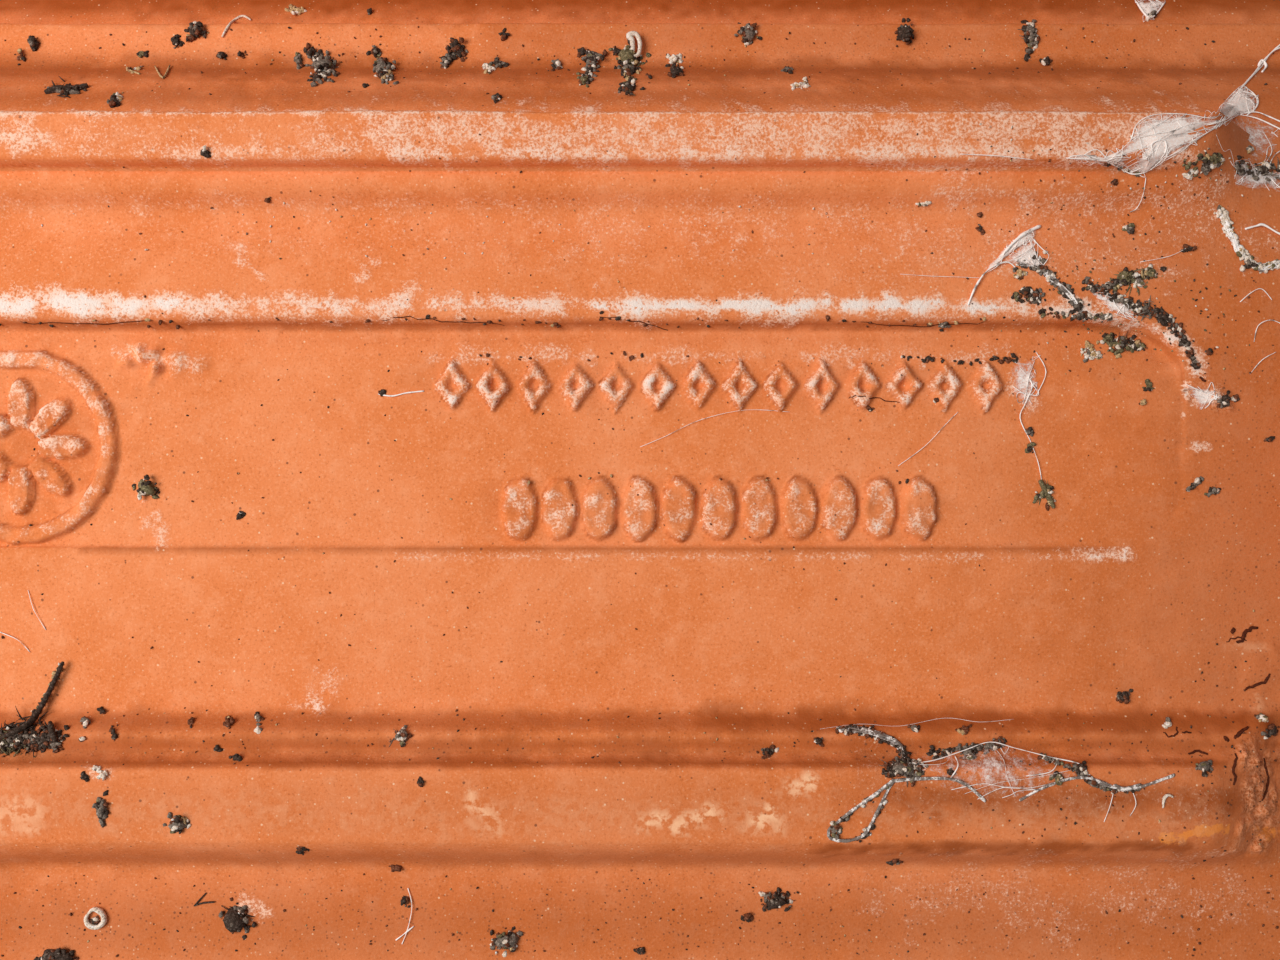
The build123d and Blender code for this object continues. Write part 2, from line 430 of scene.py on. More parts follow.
@dataclass(frozen=True)
class ClayFinishAndPaintedLight:
    """Fired orange clay, matt, with salt bloom, pits, pale flecks, worn spots and torn faces, and with
    painted shade and painted light laid into its colour.
    """

    body: Colour = (0.84, 0.256, 0.089)
    warm: Colour = (0.77, 0.210, 0.058)
    pale: Colour = (0.92, 0.350, 0.160)
    # Dark grain, and the painted shade in creases, channels and folds.
    dark_grain_and_shade: Colour = (0.34, 0.066, 0.007)
    pit: Colour = (0.20, 0.060, 0.024)
    fleck: Colour = (0.93, 0.62, 0.40)
    # Salt colours, also used for a painted highlight along the upper rib's edge.
    thin_salt_and_highlight: Colour = (0.95, 0.56, 0.39)
    thick_salt_and_highlight: Colour = (0.95, 0.81, 0.73)
    rust: Colour = (0.87, 0.265, 0.045)
    # Worn spots' colour, also painted light on two raised patches beside the flap.
    worn: Colour = (0.96, 0.52, 0.29)
    # Torn clay's colour, also painted light on the lower rib's end.
    torn: Colour = (0.90, 0.37, 0.18)

    broad: Grain = Grain(22.0, 2.0, 0.5, 3.0)
    mottle: Grain = Grain(3.2, 4.0, 0.6, 11.0)
    fine: Grain = Grain(0.45, 4.0, 0.7, 23.0)
    ragged: Grain = Grain(1.3, 4.0, 0.7, 71.0)
    # Noise for the worn spots and their painted light.
    wear_and_light_grain: Grain = Grain(1.6, 3.0, 0.6, 83.0)
    salt_patches: Grain = Grain(2.4, 4.0, 0.65, 61.0)
    salt_threads: Grain = Grain(1.1, 4.0, 0.7, 67.0)
    wide_pits: Specks = Specks(1.9, 0.13, 0.16, 41.0)
    small_pits: Specks = Specks(0.9, 0.05, 0.22, 47.0)
    crowded_pits: Specks = Specks(0.75, 0.46, 0.30, 43.0)
    wide_flecks: Specks = Specks(1.4, 0.14, 0.16, 53.0)
    small_flecks: Specks = Specks(0.7, 0.13, 0.25, 59.0)
    matt: float = 0.80
    relief: float = 0.17 * MM

    def material(self) -> bpy.types.Material:
        """Builds the finish.

        Returns:
            The material, which reads the tile's masks.
        """
        look = Look("fired_clay")
        mottle, fine = look.grain(self.mottle), look.grain(self.fine)
        salt, torn, rusty = (look.painted(mask.value) for mask in (Mask.SALT, Mask.TORN, Mask.RUST))
        colour = self.clay(look, mottle, fine)
        # Paler torn clay; at the lower rib's end it is also painted light where the lamp leaves the ramp
        # dark.
        colour = look.mix(torn * fine.ramp(0.40, 0.60) * 0.8, colour, self.torn)
        stains = rusty * 0.9 + 4.2 * (look.grain(self.ragged) - 0.5) + 2.4 * (mottle - 0.5)
        colour = look.mix(stains.ramp(0.35, 1.05) * rusty.ramp(0.0, 0.5) * 0.8, colour, self.rust)
        # Worn spots and painted light on two raised patches beside the flap: paler and less rough.
        wear = look.painted(Mask.WEAR.value) * look.grain(self.wear_and_light_grain).ramp(0.40, 0.56)
        colour = look.mix(wear * 0.9, colour, self.worn)
        pits = look.specks(self.wide_pits).most(look.specks(self.small_pits))
        pits = pits.most(look.specks(self.crowded_pits) * look.painted(Mask.PITTED.value) * 0.9)
        colour = look.mix(pits * 0.8, colour, self.pit)
        flecks = look.specks(self.wide_flecks).most(look.specks(self.small_flecks) * 0.6)
        colour = look.mix(flecks * 0.7, colour, self.fleck)
        # Salt bloom; one salt mark is a painted highlight along the upper rib's edge.
        bloom = self.bloom(look, salt, fine)
        crust = look.mix((salt * bloom).ramp(0.45, 1.25), self.thin_salt_and_highlight, self.thick_salt_and_highlight)
        colour = look.mix(bloom, colour, crust)
        height = fine * (0.5 + 0.9 * salt + 1.4 * torn) + 0.45 * mottle * (1.0 + 2.0 * torn)
        return look.finish(colour, self.matt - 0.38 * wear + 0.10 * bloom, height, self.relief)

    def clay(self, look: Look, mottle: Value, fine: Value) -> bpy.types.NodeSocket:
        """The clay's colour, with painted shade that makes it darker and redder in its folds, channels and
        creases.

        Args:
            look: The material under construction.
            mottle: Noise of a few millimetres.
            fine: Noise of half a millimetre.

        Returns:
            The colour.
        """
        colour = look.mix(look.grain(self.broad).ramp(0.35, 0.65), self.warm, self.body)
        colour = look.mix(mottle.ramp(0.45, 0.75) * 0.45, colour, self.pale)
        colour = look.mix(fine.ramp(0.52, 0.68) * 0.72, colour, self.pale)
        colour = look.mix(fine.ramp(0.45, 0.28) * 0.52, colour, self.dark_grain_and_shade)
        # Painted shade: the shade mask darkens the colour in creases, channels and folds.
        return look.mix(look.painted(Mask.SHADE.value) * (0.8 + 0.4 * mottle), colour, self.dark_grain_and_shade)

    def bloom(self, look: Look, salt: Value, fine: Value) -> Value:
        """Salt on the clay: grains, threads between them and a thin veil.

        Args:
            look: The material under construction.
            salt: The painted share of salt.
            fine: Noise of half a millimetre.

        Returns:
            How strongly salt covers each place.
        """
        patches = look.grain(self.salt_patches)
        threads = 1.0 - 8.0 * (look.grain(self.salt_threads) - 0.5).size()
        grains = (fine - 0.5) * 3.9 + (patches - 0.5) * 1.3
        lace = (grains + 0.42 * threads + salt * 1.35).ramp(0.50, 1.50)
        veil = salt * 0.35 * patches.ramp(0.35, 0.65)
        return lace.most(veil) * salt.ramp(0.0, 0.25)


def table(kind: type, *rows: tuple) -> tuple:
    """Makes one of a kind from each row."""
    return tuple(kind(*row) for row in rows)


def soft_step(rise: np.ndarray) -> np.ndarray:
    """Rises smoothly from 0 to 1 as its argument does."""
    rise = np.clip(rise, 0.0, 1.0)
    return rise * rise * (3.0 - 2.0 * rise)


@dataclass(frozen=True)
class Stroke:
    """A soft mark on the underside along a line of pixels."""

    line: tuple[tuple[float, float], ...]
    width: float
    strength: float = 1.0
    ragged: float = 0.5

    def cover(self, x: np.ndarray, y: np.ndarray, rough: np.ndarray) -> np.ndarray:
        """How strongly the mark covers each place.

        Args:
            x: Pixels from the left.
            y: Pixels from the top.
            rough: Noise about 0 that makes the edge uneven.

        Returns:
            The strength at each place.
        """
        distance = np.full(len(x), np.inf)
        ends = self.line[1:] or self.line
        for (from_x, from_y), (to_x, to_y) in zip(self.line, ends):
            run_x, run_y = to_x - from_x, to_y - from_y
            share = ((x - from_x) * run_x + (y - from_y) * run_y) / max(run_x ** 2 + run_y ** 2, 1.0)
            share = np.clip(share, 0.0, 1.0)
            gap = np.hypot(x - from_x - share * run_x, y - from_y - share * run_y)
            distance = np.minimum(distance, gap)
        return self.strength * soft_step(1.0 - distance / self.width + self.ragged * rough)


SALT_AND_HIGHLIGHT_MARKS = table(
    Stroke,
    (((-1300, 146), (40, 146)), 22, 0.42, 1.2), (((40, 152), (380, 154)), 12, 0.44, 1.2),
    (((160, 150), (400, 150)), 14, 0.45, 1.4), (((300, 144), (430, 142)), 24, 0.42, 1.3),
    (((400, 154), (1190, 152)), 15, 0.74, 1.0), (((380, 134), (1185, 132)), 36, 0.60, 1.0),
    # The first mark below is a painted highlight along the upper rib's edge.
    (((-1300, 113), (1180, 113)), 3, 0.72, 1.0), (((60, 136), (380, 136)), 32, 0.24, 1.4),
    (((640, 122), (1180, 122)), 22, 0.50, 1.2), (((-20, 134), (48, 142)), 26, 0.66, 1.2),
    (((-1300, 303), (170, 304)), 20, 1.15, 0.7), (((140, 303), (600, 305)), 15, 0.80, 1.1),
    (((530, 304), (640, 304)), 11, 0.85, 0.4), (((590, 305), (1010, 306)), 13, 1.15, 0.8),
    (((560, 305), (800, 308)), 17, 0.8, 1.2), (((1000, 304), (1110, 308)), 12, 0.75, 0.9),
    (((930, 308), (1108, 312)), 7, 0.95, 0.6),
    (((1080, 313), (1120, 319), (1160, 331), (1184, 342), (1198, 372)), 10, 1.0, 0.8),
    (((1060, 554), (1132, 553)), 8, 0.95, 0.8), (((400, 556), (1060, 556)), 5, 0.35, 1.2),
    (((430, 356), (1010, 356)), 10, 0.40, 1.3), (((118, 352), (190, 366)), 13, 0.62, 1.2),
    (((1186, 386), (1187, 395)), 8, 1.0, 0.5), (((1196, 402), (1218, 394)), 9, 0.9, 0.8),
    (((1183, 415),), 7, 0.9, 0.5), (((1196, 446), (1206, 447)), 8, 0.9, 0.6),
    (((1010, 380), (1030, 400)), 14, 0.5, 1.4), (((312, 690), (316, 708)), 9, 0.9, 1.0),
    (((322, 680), (330, 676)), 16, 0.6, 1.4), (((280, 691),), 6, 0.9, 0.5),
    (((294, 705), (299, 706)), 6, 0.9, 0.5), (((150, 520), (165, 540)), 16, 0.45, 1.4),
    (((92, 772), (106, 778)), 12, 0.5, 1.2), (((236, 246), (238, 262)), 6, 0.62, 1.6),
    (((250, 264), (266, 282)), 5, 0.62, 1.4), (((356, 286), (370, 266)), 5, 0.66, 1.4),
    (((358, 154), (376, 134)), 5, 0.6, 1.4), (((560, 230), (1280, 232)), 46, 0.20, 1.8),
    (((0, 230), (560, 230)), 44, 0.11, 1.8), (((230, 240), (960, 262)), 30, 0.14, 2.0),
    (((0, 318), (1060, 318)), 6, 0.30, 2.0), (((940, 196), (1220, 200)), 26, 0.32, 1.4),
    (((940, 258), (1150, 262)), 30, 0.25, 1.2), (((-1300, 205), (1240, 207)), 15, 0.20, 1.4),
    (((880, 166), (1190, 165)), 8, 0.50, 1.2), (((860, 790), (1200, 800)), 42, 0.13, 1.6),
    (((900, 900), (1290, 900)), 46, 0.20, 1.6), (((250, 905), (262, 915)), 13, 0.6, 1.2),
)

SHADE_MARKS = table(
    Stroke,
    (((-1300, 70), (1400, 70)), 22, 0.74, 0.4), (((-1300, 96), (1400, 96)), 20, 0.52, 0.5),
    (((-1300, 0), (1400, 0)), 34, 0.95, 0.3), (((500, 36), (1400, 36)), 40, 0.34, 0.3),
    (((860, 800), (1400, 800)), 66, 0.46, 0.3), (((700, 722), (1400, 722)), 26, 0.86, 0.4),
    (((-1300, 325), (1080, 325), (1150, 336), (1178, 362), (1184, 390)), 9, 0.62, 0.5),
    (((-1300, 343), (1080, 343)), 6, 0.16, 0.5), (((80, 549), (1165, 549)), 3.5, 0.60, 0.6),
    (((-1300, 722), (1300, 722)), 22, 0.60, 0.4), (((-1300, 745), (1300, 745)), 18, 0.72, 0.4),
    (((-1300, 763), (1300, 763)), 10, 0.82, 0.4), (((-1300, 810), (1300, 810)), 70, 0.27, 0.2),
    (((-1300, 860), (1300, 860)), 16, 0.42, 0.3), (((820, 848), (1190, 846)), 13, 0.85, 0.6),
    (((425, 384), (1005, 384)), 34, 0.16, 0.6), (((500, 508), (945, 508)), 36, 0.17, 0.6),
    (((40, 440),), 100, 0.27, 0.6), (((900, 798), (1230, 802)), 36, 0.85, 0.5),
    (((1212, 655), (1238, 652), (1256, 659), (1267, 674), (1262, 684)), 5, 0.42, 0.3),
    (((1246, 692), (1247, 704), (1253, 716)), 5, 0.36, 0.4), (((-1300, 925), (1300, 925)), 85, 0.50, 0.2),
    (((1300, 180), (1280, 900)), 420, 0.46, 0.2), (((1112, 821), (1130, 816)), 11, 0.5, 1.0),
    (((1200, 650), (1285, 720)), 40, 0.40, 1.2),
)

# Worn spots on the rib tops; the last two marks are painted light on raised patches beside the flap.
WEAR_AND_LIGHT_MARKS = table(
    Stroke,
    (((-1300, 815), (1210, 815)), 26, 0.16, 1.4), (((646, 822), (712, 817)), 17, 1.15, 1.0),
    (((688, 822), (704, 817)), 18, 1.2, 0.8), (((757, 822), (770, 818)), 17, 1.2, 0.8),
    (((796, 786), (812, 784)), 14, 1.2, 0.8), (((474, 804), (500, 824)), 17, 0.85, 1.0),
    (((-40, 812), (28, 814)), 34, 0.6, 0.6), (((1226, 645), (1262, 648)), 8, 0.40, 0.5),
    (((1256, 697), (1258, 706)), 10, 0.42, 0.4),
)

RUST_MARKS = table(
    Stroke,
    (((1164, 838), (1190, 834), (1226, 826)), 8, 1.4, 0.7), (((1258, 833), (1285, 832)), 9, 1.0, 0.9),
)

# Torn clay; the first two marks, at the lower rib's end, also paint light where the lamp leaves the ramp
# dark.
TORN_AND_LIT_MARKS = table(
    Stroke,
    (((1256, 760), (1262, 800), (1256, 838)), 26, 1.0, 0.8), (((1300, 760), (1310, 840)), 34, 1.0, 0.8),
    (((1190, 392), (1225, 403)), 11, 0.8, 0.8),
)

PITTED_MARKS = table(
    Stroke,
    (((-1300, 925), (1400, 925)), 90, 1.0, 0.4), (((1240, 380), (1250, 720)), 90, 0.7, 0.6),
    (((0, 740), (1280, 745)), 26, 0.7, 0.8), (((0, 60), (1280, 60)), 40, 0.6, 0.8),
)

MASK_MARKS = {
    Mask.PITTED: PITTED_MARKS,
    Mask.SALT: SALT_AND_HIGHLIGHT_MARKS,
    Mask.SHADE: SHADE_MARKS,
    Mask.WEAR: WEAR_AND_LIGHT_MARKS,
    Mask.RUST: RUST_MARKS,
    Mask.TORN: TORN_AND_LIT_MARKS,
}
LUMP = Stroke(((130, 362), (158, 358), (182, 364)), 17, 1.0, 0.9)
FLAP = Stroke(((1262, 668), (1275, 690), (1272, 730)), 42, 1.0, 0.5)


def cover(marks: Sequence[Stroke], x: np.ndarray, y: np.ndarray, rough: np.ndarray) -> np.ndarray:
    """The strongest of some marks at each pixel place."""
    return np.max([mark.cover(x, y, rough) for mark in marks], axis=0)


@dataclass(frozen=True)
class Ornament:
    """A plain raised pattern in the sunk panel: a row of lozenges, a row of studs and a rosette."""

    lozenges_from: float = 432.0
    lozenges_to: float = 1006.0
    lozenges_at: float = 386.0
    lozenge_width: float = 17.0
    lozenge_height: float = 24.0
    studs_from: float = 500.0
    studs_to: float = 938.0
    studs_at: float = 509.0
    stud_width: float = 17.0
    stud_height: float = 30.0
    pitch: float = 41.0
    rosette_at: tuple[float, float] = (22.0, 447.0)
    rosette_reach: float = 98.0
    petals: int = 8
    petal_round: float = 0.6
    ring_share: float = 0.9
    ring_width: float = 8.0
    flower_share: float = 0.68
    heart_share: float = 0.2
    petal_edge: float = 12.0
    lozenge_slope: float = 0.8
    lozenge_rim: float = 9.0
    rise: float = 1.1 * MM
    slope: float = 5.5
    wander: float = 1.5
    middle: float = 447.0
    half_height: float = 105.0
    salt: float = 0.55
    salt_rough: float = 0.7
    studs_below: float = 450.0
    studs_less_salt: float = 0.25
    rosette_before: float = 150.0
    rosette_less_salt: float = 0.12
    foot_shade: float = 0.62

    def heights(self, x: np.ndarray, y: np.ndarray, rough: np.ndarray) -> np.ndarray:
        """How far the pattern stands out of the panel.

        Args:
            x: Pixels from the left.
            y: Pixels from the top.
            rough: Noise about 0 that makes its outlines uneven.

        Returns:
            The height at each place in metres.
        """
        lozenges = self.row(x, y, self.lozenges_from, self.lozenges_to, self.lozenges_at, self.lozenge)
        studs = self.row(x, y, self.studs_from, self.studs_to, self.studs_at, self.stud)
        inside = np.maximum(np.maximum(lozenges, studs), self.rosette(x, y)) + self.wander * rough
        near = np.abs(y - self.middle) < self.half_height
        return self.rise * soft_step(inside / self.slope + 0.5) * near

    def salted(self, x: np.ndarray, y: np.ndarray, raised: np.ndarray, rough: np.ndarray) -> np.ndarray:
        """How strongly salt covers the pattern.

        Args:
            x: Pixels from the left.
            y: Pixels from the top.
            raised: How far the pattern stands out at each place.
            rough: Noise about 0 that makes the salt uneven.

        Returns:
            The strength at each place.
        """
        share = self.salt + self.salt_rough * rough
        share -= self.studs_less_salt * (y > self.studs_below)
        share -= self.rosette_less_salt * (x < self.rosette_before)
        return raised / self.rise * share

    def foot(self, raised: np.ndarray, rough: np.ndarray) -> np.ndarray:
        """Painted shade at the pattern's foot: how dark it is where the pattern stands out by so much."""
        share = raised / self.rise
        return soft_step(share * 6.0) * (1.0 - share) * (self.foot_shade + rough)

    def row(self, x: np.ndarray, y: np.ndarray, start: float, end: float, middle: float,
            shape: Callable[[np.ndarray, np.ndarray], np.ndarray]) -> np.ndarray:
        """Finds how far places lie inside the nearest of a row of shapes.

        Args:
            x: Pixels from the left.
            y: Pixels from the top.
            start: Where the row starts.
            end: Where it ends.
            middle: Its height in the picture.
            shape: Gives the pixels inside a shape from those away from its middle.

        Returns:
            The pixels inside, less than 0 outside.
        """
        count = round((end - start) / self.pitch)
        pitch = (end - start) / count
        number = np.clip(np.floor((x - start) / pitch), 0, count - 1)
        return shape(x - start - (number + 0.5) * pitch, y - middle)

    def lozenge(self, x: np.ndarray, y: np.ndarray) -> np.ndarray:
        """Pixels inside a lozenge with a sunk middle."""
        share = np.abs(x) / self.lozenge_width + np.abs(y) / self.lozenge_height
        whole = (1.0 - share) * self.lozenge_width * self.lozenge_slope
        return np.minimum(whole, self.lozenge_rim - whole)

    def stud(self, x: np.ndarray, y: np.ndarray) -> np.ndarray:
        """Pixels inside an oval stud."""
        share = np.hypot(x / self.stud_width, y / self.stud_height)
        return (1.0 - share) * self.stud_width

    def rosette(self, x: np.ndarray, y: np.ndarray) -> np.ndarray:
        """Finds how far places lie inside a ring around a flower of plain petals.

        Args:
            x: Pixels from the left.
            y: Pixels from the top.

        Returns:
            The pixels inside, less than 0 outside.
        """
        away_x, away_y = x - self.rosette_at[0], y - self.rosette_at[1]
        away = np.hypot(away_x, away_y)
        ring = self.ring_width - np.abs(away - self.rosette_reach * self.ring_share)
        turn = np.arctan2(away_y, away_x)
        petal = np.abs(np.cos(turn * self.petals / 2)) ** self.petal_round
        outside = petal * self.rosette_reach * self.flower_share - away
        flower = np.minimum(outside, away - self.rosette_reach * self.heart_share)
        return np.maximum(ring, np.minimum(flower, self.petal_edge))


@dataclass(frozen=True)
class Worn:
    """A stretch of the underside whose edges are rounded further, as by a worn mould."""

    window: Window
    rounds: int
    axes: tuple[bool, bool, bool] = (False, True, True)


@dataclass
class TileBody:
    """The fired tile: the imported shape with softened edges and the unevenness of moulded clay."""

    places: TilePlaces
    view: CloseView
    edge_radius: float = 0.7 * MM
    edge_segments: int = 3
    sharp_degrees: float = 24.0
    flat_degrees: float = 0.3
    straight: float = 0.97
    crease_straight: float = 0.95
    crease_length: float = 5.0 * MM
    edge_support: float = 1.2 * MM
    wide_step: float = 6.0 * MM
    wall_step: float = 4.0 * MM
    close_step: float = 1.4 * MM
    snap: float = 0.08 * MM
    close: Window = Window((-0.066, 0.150), (-0.110, 0.078))
    torn_windows: tuple[Window, ...] = (
        Window((0.112, 0.146), (-0.0190, 0.0120)),
        Window((0.124, 0.148), (-0.0860, -0.0440)),
    )
    ornament_windows: tuple[Window, ...] = (
        Window((0.006, 0.104), (-0.0135, -0.0035)),
        Window((0.016, 0.092), (-0.0342, -0.0218)),
        Window((-0.064, -0.036), (-0.0350, -0.0010)),
    )
    panel_zone: Window = Window((-0.136, 0.136), (-0.037, 0.0065))
    panel_depth: float = -9.0 * MM
    worn: tuple[Worn, ...] = (
        Worn(Window((-0.220, 0.220), (-0.0362, -0.0322)), 1),
        Worn(Window((-0.220, 0.220), (0.0005, 0.0050)), 2),
        Worn(Window((-0.220, 0.220), (0.0160, 0.0266)), 70),
        Worn(Window((-0.220, 0.220), (-0.0715, -0.0585)), 3),
        Worn(Window((-0.220, 0.220), (-0.0910, -0.0812)), 40),
        Worn(Window((-0.220, 0.220), (0.0560, 0.0680)), 5),
        Worn(Window((0.117, 0.135), (-0.0370, 0.0060)), 3, (True, True, True)),
        Worn(Window((-0.135, -0.117), (-0.0370, 0.0060)), 3, (True, True, True)),
        Worn(Window((0.122, 0.176), (0.0160, 0.0350)), 90, (True, False, True)),
        Worn(Window((0.122, 0.166), (-0.0860, -0.0600)), 50, (True, False, True)),
    )
    panel_end: tuple[float, float] = (0.108, 0.1315)
    panel_top: tuple[float, float] = (-0.010, 0.002)
    low_surface: float = -4.5 * MM
    shallow_radius: float = 0.8
    fade_gap: float = 0.25 * MM
    fade_past: float = 2.0 * MM
    fade_depth: float = 5.0 * MM
    ornament: Ornament = Ornament()
    underside_reach: float = -50.0 * MM
    uneven_sizes: tuple[float, float, float] = (24.0 * MM, 6.0 * MM, 2.0 * MM)
    uneven_rises: tuple[float, float, float] = (0.20 * MM, 0.10 * MM, 0.045 * MM)
    tiny_size: float = 1.2 * MM
    lump_rise: float = 1.3 * MM
    flap_rise: float = 0.55 * MM
    torn_rise: float = 1.0 * MM
    seen_x: tuple[float, float] = (-80.0, 1360.0)
    seen_y: tuple[float, float] = (-60.0, 1010.0)
    unseen_salt: float = 0.45

    def build(self) -> bpy.types.Object:
        """Builds the tile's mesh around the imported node.

        Returns:
            The tile's object.
        """
        bm = self.start()
        creases = {axis: self.creases(bm, axis) for axis in (0, 1)}
        self.soften_edges(bm)
        self.refine(bm, creases)
        many_sided = [face for face in bm.faces if len(face.verts) > 4]
        bmesh.ops.triangulate(bm, faces=many_sided)
        bm.normal_update()
        mesh = bpy.data.meshes.new("tile")
        bm.to_mesh(mesh)
        bm.free()
        self.shape(mesh)
        mesh.transform(self.places.matrix)
        mesh.shade_smooth()
        tile = bpy.data.objects.new("tile", mesh)
        bpy.context.scene.collection.objects.link(tile)
        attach(tile, BODY)
        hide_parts(NODE)
        mesh.calc_loop_triangles()
        log.info("tile: %d triangles", len(mesh.loop_triangles))
        return tile

    def start(self) -> BMesh:
        """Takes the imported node's shape, with its flat faces joined.

        Returns:
            The mesh in the tile's own places.
        """
        bm = bmesh.new()
        bm.from_mesh(frame["nodes"][NODE].data)
        bmesh.ops.remove_doubles(bm, verts=bm.verts[:], dist=MM / 1000)
        bmesh.ops.transform(bm, matrix=self.places.matrix.inverted(), verts=bm.verts[:])
        lengthwise = [face for face in bm.faces if abs(face.normal.x) < 0.9]
        edges = list({edge for face in lengthwise for edge in face.edges})
        bmesh.ops.dissolve_limit(bm, angle_limit=math.radians(self.flat_degrees), verts=[], edges=edges,
                                 use_dissolve_boundaries=False)
        return bm

    def sharp(self, bm: BMesh) -> list[BMEdge]:
        """Finds the straight sharp edges, apart from those of the shallow panel.

        Args:
            bm: The mesh.

        Returns:
            The edges that are rounded.
        """
        limit = math.radians(self.sharp_degrees)
        found = []
        for edge in bm.edges:
            way = edge.verts[1].co - edge.verts[0].co
            middle = (edge.verts[0].co + edge.verts[1].co) / 2
            straight = max(abs(way.x), math.hypot(way.y, way.z)) > self.straight * way.length
            shallow = self.panel_zone.holds(middle) and middle.z > self.panel_depth
            if edge.calc_face_angle(0) > limit and straight and not shallow:
                found.append(edge)
        return found

    def creases(self, bm: BMesh, axis: int) -> list[float]:
        """Finds where sharp edges run lengthwise (axis 1) or crosswise (axis 0).

        Args:
            bm: The mesh.
            axis: The axis that they run across.

        Returns:
            Their places along the axis in rising order.
        """
        run = 1 - axis
        places = set()
        for edge in self.sharp(bm):
            way = (edge.verts[1].co - edge.verts[0].co).normalized()
            if abs(way[run]) > self.crease_straight and edge.calc_length() > self.crease_length:
                places.add(round(edge.verts[0].co[axis] / MM, 1) * MM)
        return sorted(places)

    def soften_edges(self, bm: BMesh) -> None:
        """Rounds the sharp edges as a worn mould leaves them.

        Args:
            bm: The mesh.
        """
        bmesh.ops.bevel(bm, geom=self.sharp(bm), offset=self.edge_radius, offset_type="OFFSET",
                        segments=self.edge_segments, profile=0.5, affect="EDGES", material=-1,
                        clamp_overlap=False, loop_slide=True)
        bmesh.ops.dissolve_degenerate(bm, edges=bm.edges[:], dist=MM / 50)

    def refine(self, bm: BMesh, creases: dict[int, list[float]]) -> None:
        """Cuts the mesh into cells, small ones where the close view looks.

        Args:
            bm: The mesh.
            creases: Where sharp edges run across each axis.
        """
        low = [min(vert.co[axis] for vert in bm.verts) for axis in range(3)]
        high = [max(vert.co[axis] for vert in bm.verts) for axis in range(3)]
        for axis, (start, end) in ((1, self.close.across), (0, self.close.along)):
            faces = [face for face in bm.faces if self.is_seen(face, self.close)]
            places = cut_places(start, end, 2 * self.close_step, creases[axis], self.edge_support)
            sweep_cut(bm, faces, axis, places, self.snap)
        for axis in (1, 0):
            places = cut_places(low[axis], high[axis], self.wide_step, creases[axis], self.edge_support)
            big = [face for face in bm.faces if self.width(face, axis) > self.wide_step / 2]
            sweep_cut(bm, big, axis, places, self.snap)
        steep = [face for face in bm.faces
                 if abs(face.normal.z) < 0.5 and self.width(face, 2) > self.wall_step]
        sweep_cut(bm, steep, 2, cut_places(low[2], high[2], self.wall_step), self.snap)
        self.split(bm, self.close, 1, self.close_step * 1.1)
        for window in self.torn_windows:
            self.split(bm, window, 1, self.close_step / 2)
        for worn in self.worn:
            self.wear(bm, worn)
        for window in self.ornament_windows:
            self.split(bm, window, 2, self.close_step / 2)

    @staticmethod
    def wear(bm: BMesh, worn: Worn) -> None:
        """Rounds the edges in one stretch of the underside.

        Args:
            bm: The mesh.
            worn: The stretch.
        """
        bm.normal_update()
        verts = [vert for vert in bm.verts if worn.window.holds(vert.co) and vert.normal.z > 0.1]
        for _ in range(worn.rounds):
            bmesh.ops.smooth_vert(bm, verts=verts, factor=0.5, use_axis_x=worn.axes[0],
                                  use_axis_y=worn.axes[1], use_axis_z=worn.axes[2])

    def split(self, bm: BMesh, window: Window, cuts: int, least: float) -> None:
        """Splits the cells in a window into smaller ones.

        Args:
            bm: The mesh.
            window: Where the cells lie.
            cuts: How many cuts each side gets.
            least: The shortest side that is cut.
        """
        faces = [face for face in bm.faces if self.is_seen(face, window)]
        edges = {edge for face in faces for edge in face.edges if edge.calc_length() > least}
        bmesh.ops.subdivide_edges(bm, edges=list(edges), cuts=cuts, use_grid_fill=True)

    @staticmethod
    def width(face: BMFace, axis: int) -> float:
        """How far a face reaches along an axis."""
        places = [vert.co[axis] for vert in face.verts]
        return max(places) - min(places)

    def is_seen(self, face: BMFace, window: Window) -> bool:
        """Tells whether a face lies in a window and faces the camera.

        Args:
            face: The face.
            window: The window.

        Returns:
            Whether it does.
        """
        centre = face.calc_center_median()
        if not window.holds(centre) or centre.z < self.underside_reach:
            return False
        eye = Vector((self.view.middle_along, self.view.middle_across, self.view.distance))
        return face.normal.dot((eye - centre).normalized()) > -0.05

    def shape(self, mesh: bpy.types.Mesh) -> None:
        """Moves the surface as clay moves between mould and kiln, and paints the masks.

        Args:
            mesh: The tile's mesh in its own places.
        """
        spots, ways = self.read(mesh, "co"), self.read(mesh, "normal")
        x, y = self.view.pixels(spots)
        under = soft_step(ways[:, 2] * 2.0 + 0.3) * (spots[:, 2] > self.underside_reach)
        flat = ways[:, 2] > 0.5
        coarse, medium, small = (self.uneven(spots, size) for size in self.uneven_sizes)
        rough = 0.6 * medium + 0.8 * small
        raised = self.ornament.heights(x, y, small) * flat
        for mask, marks in MASK_MARKS.items():
            painted = cover(marks, x, y, rough) * under
            if mask is Mask.SALT:
                bloom = self.unseen_salt * soft_step(coarse * 2.2 - 0.35 + 0.4 * medium)
                painted = np.maximum(painted, bloom * self.unseen(x, y))
                painted = np.maximum(painted, self.ornament.salted(x, y, raised, small))
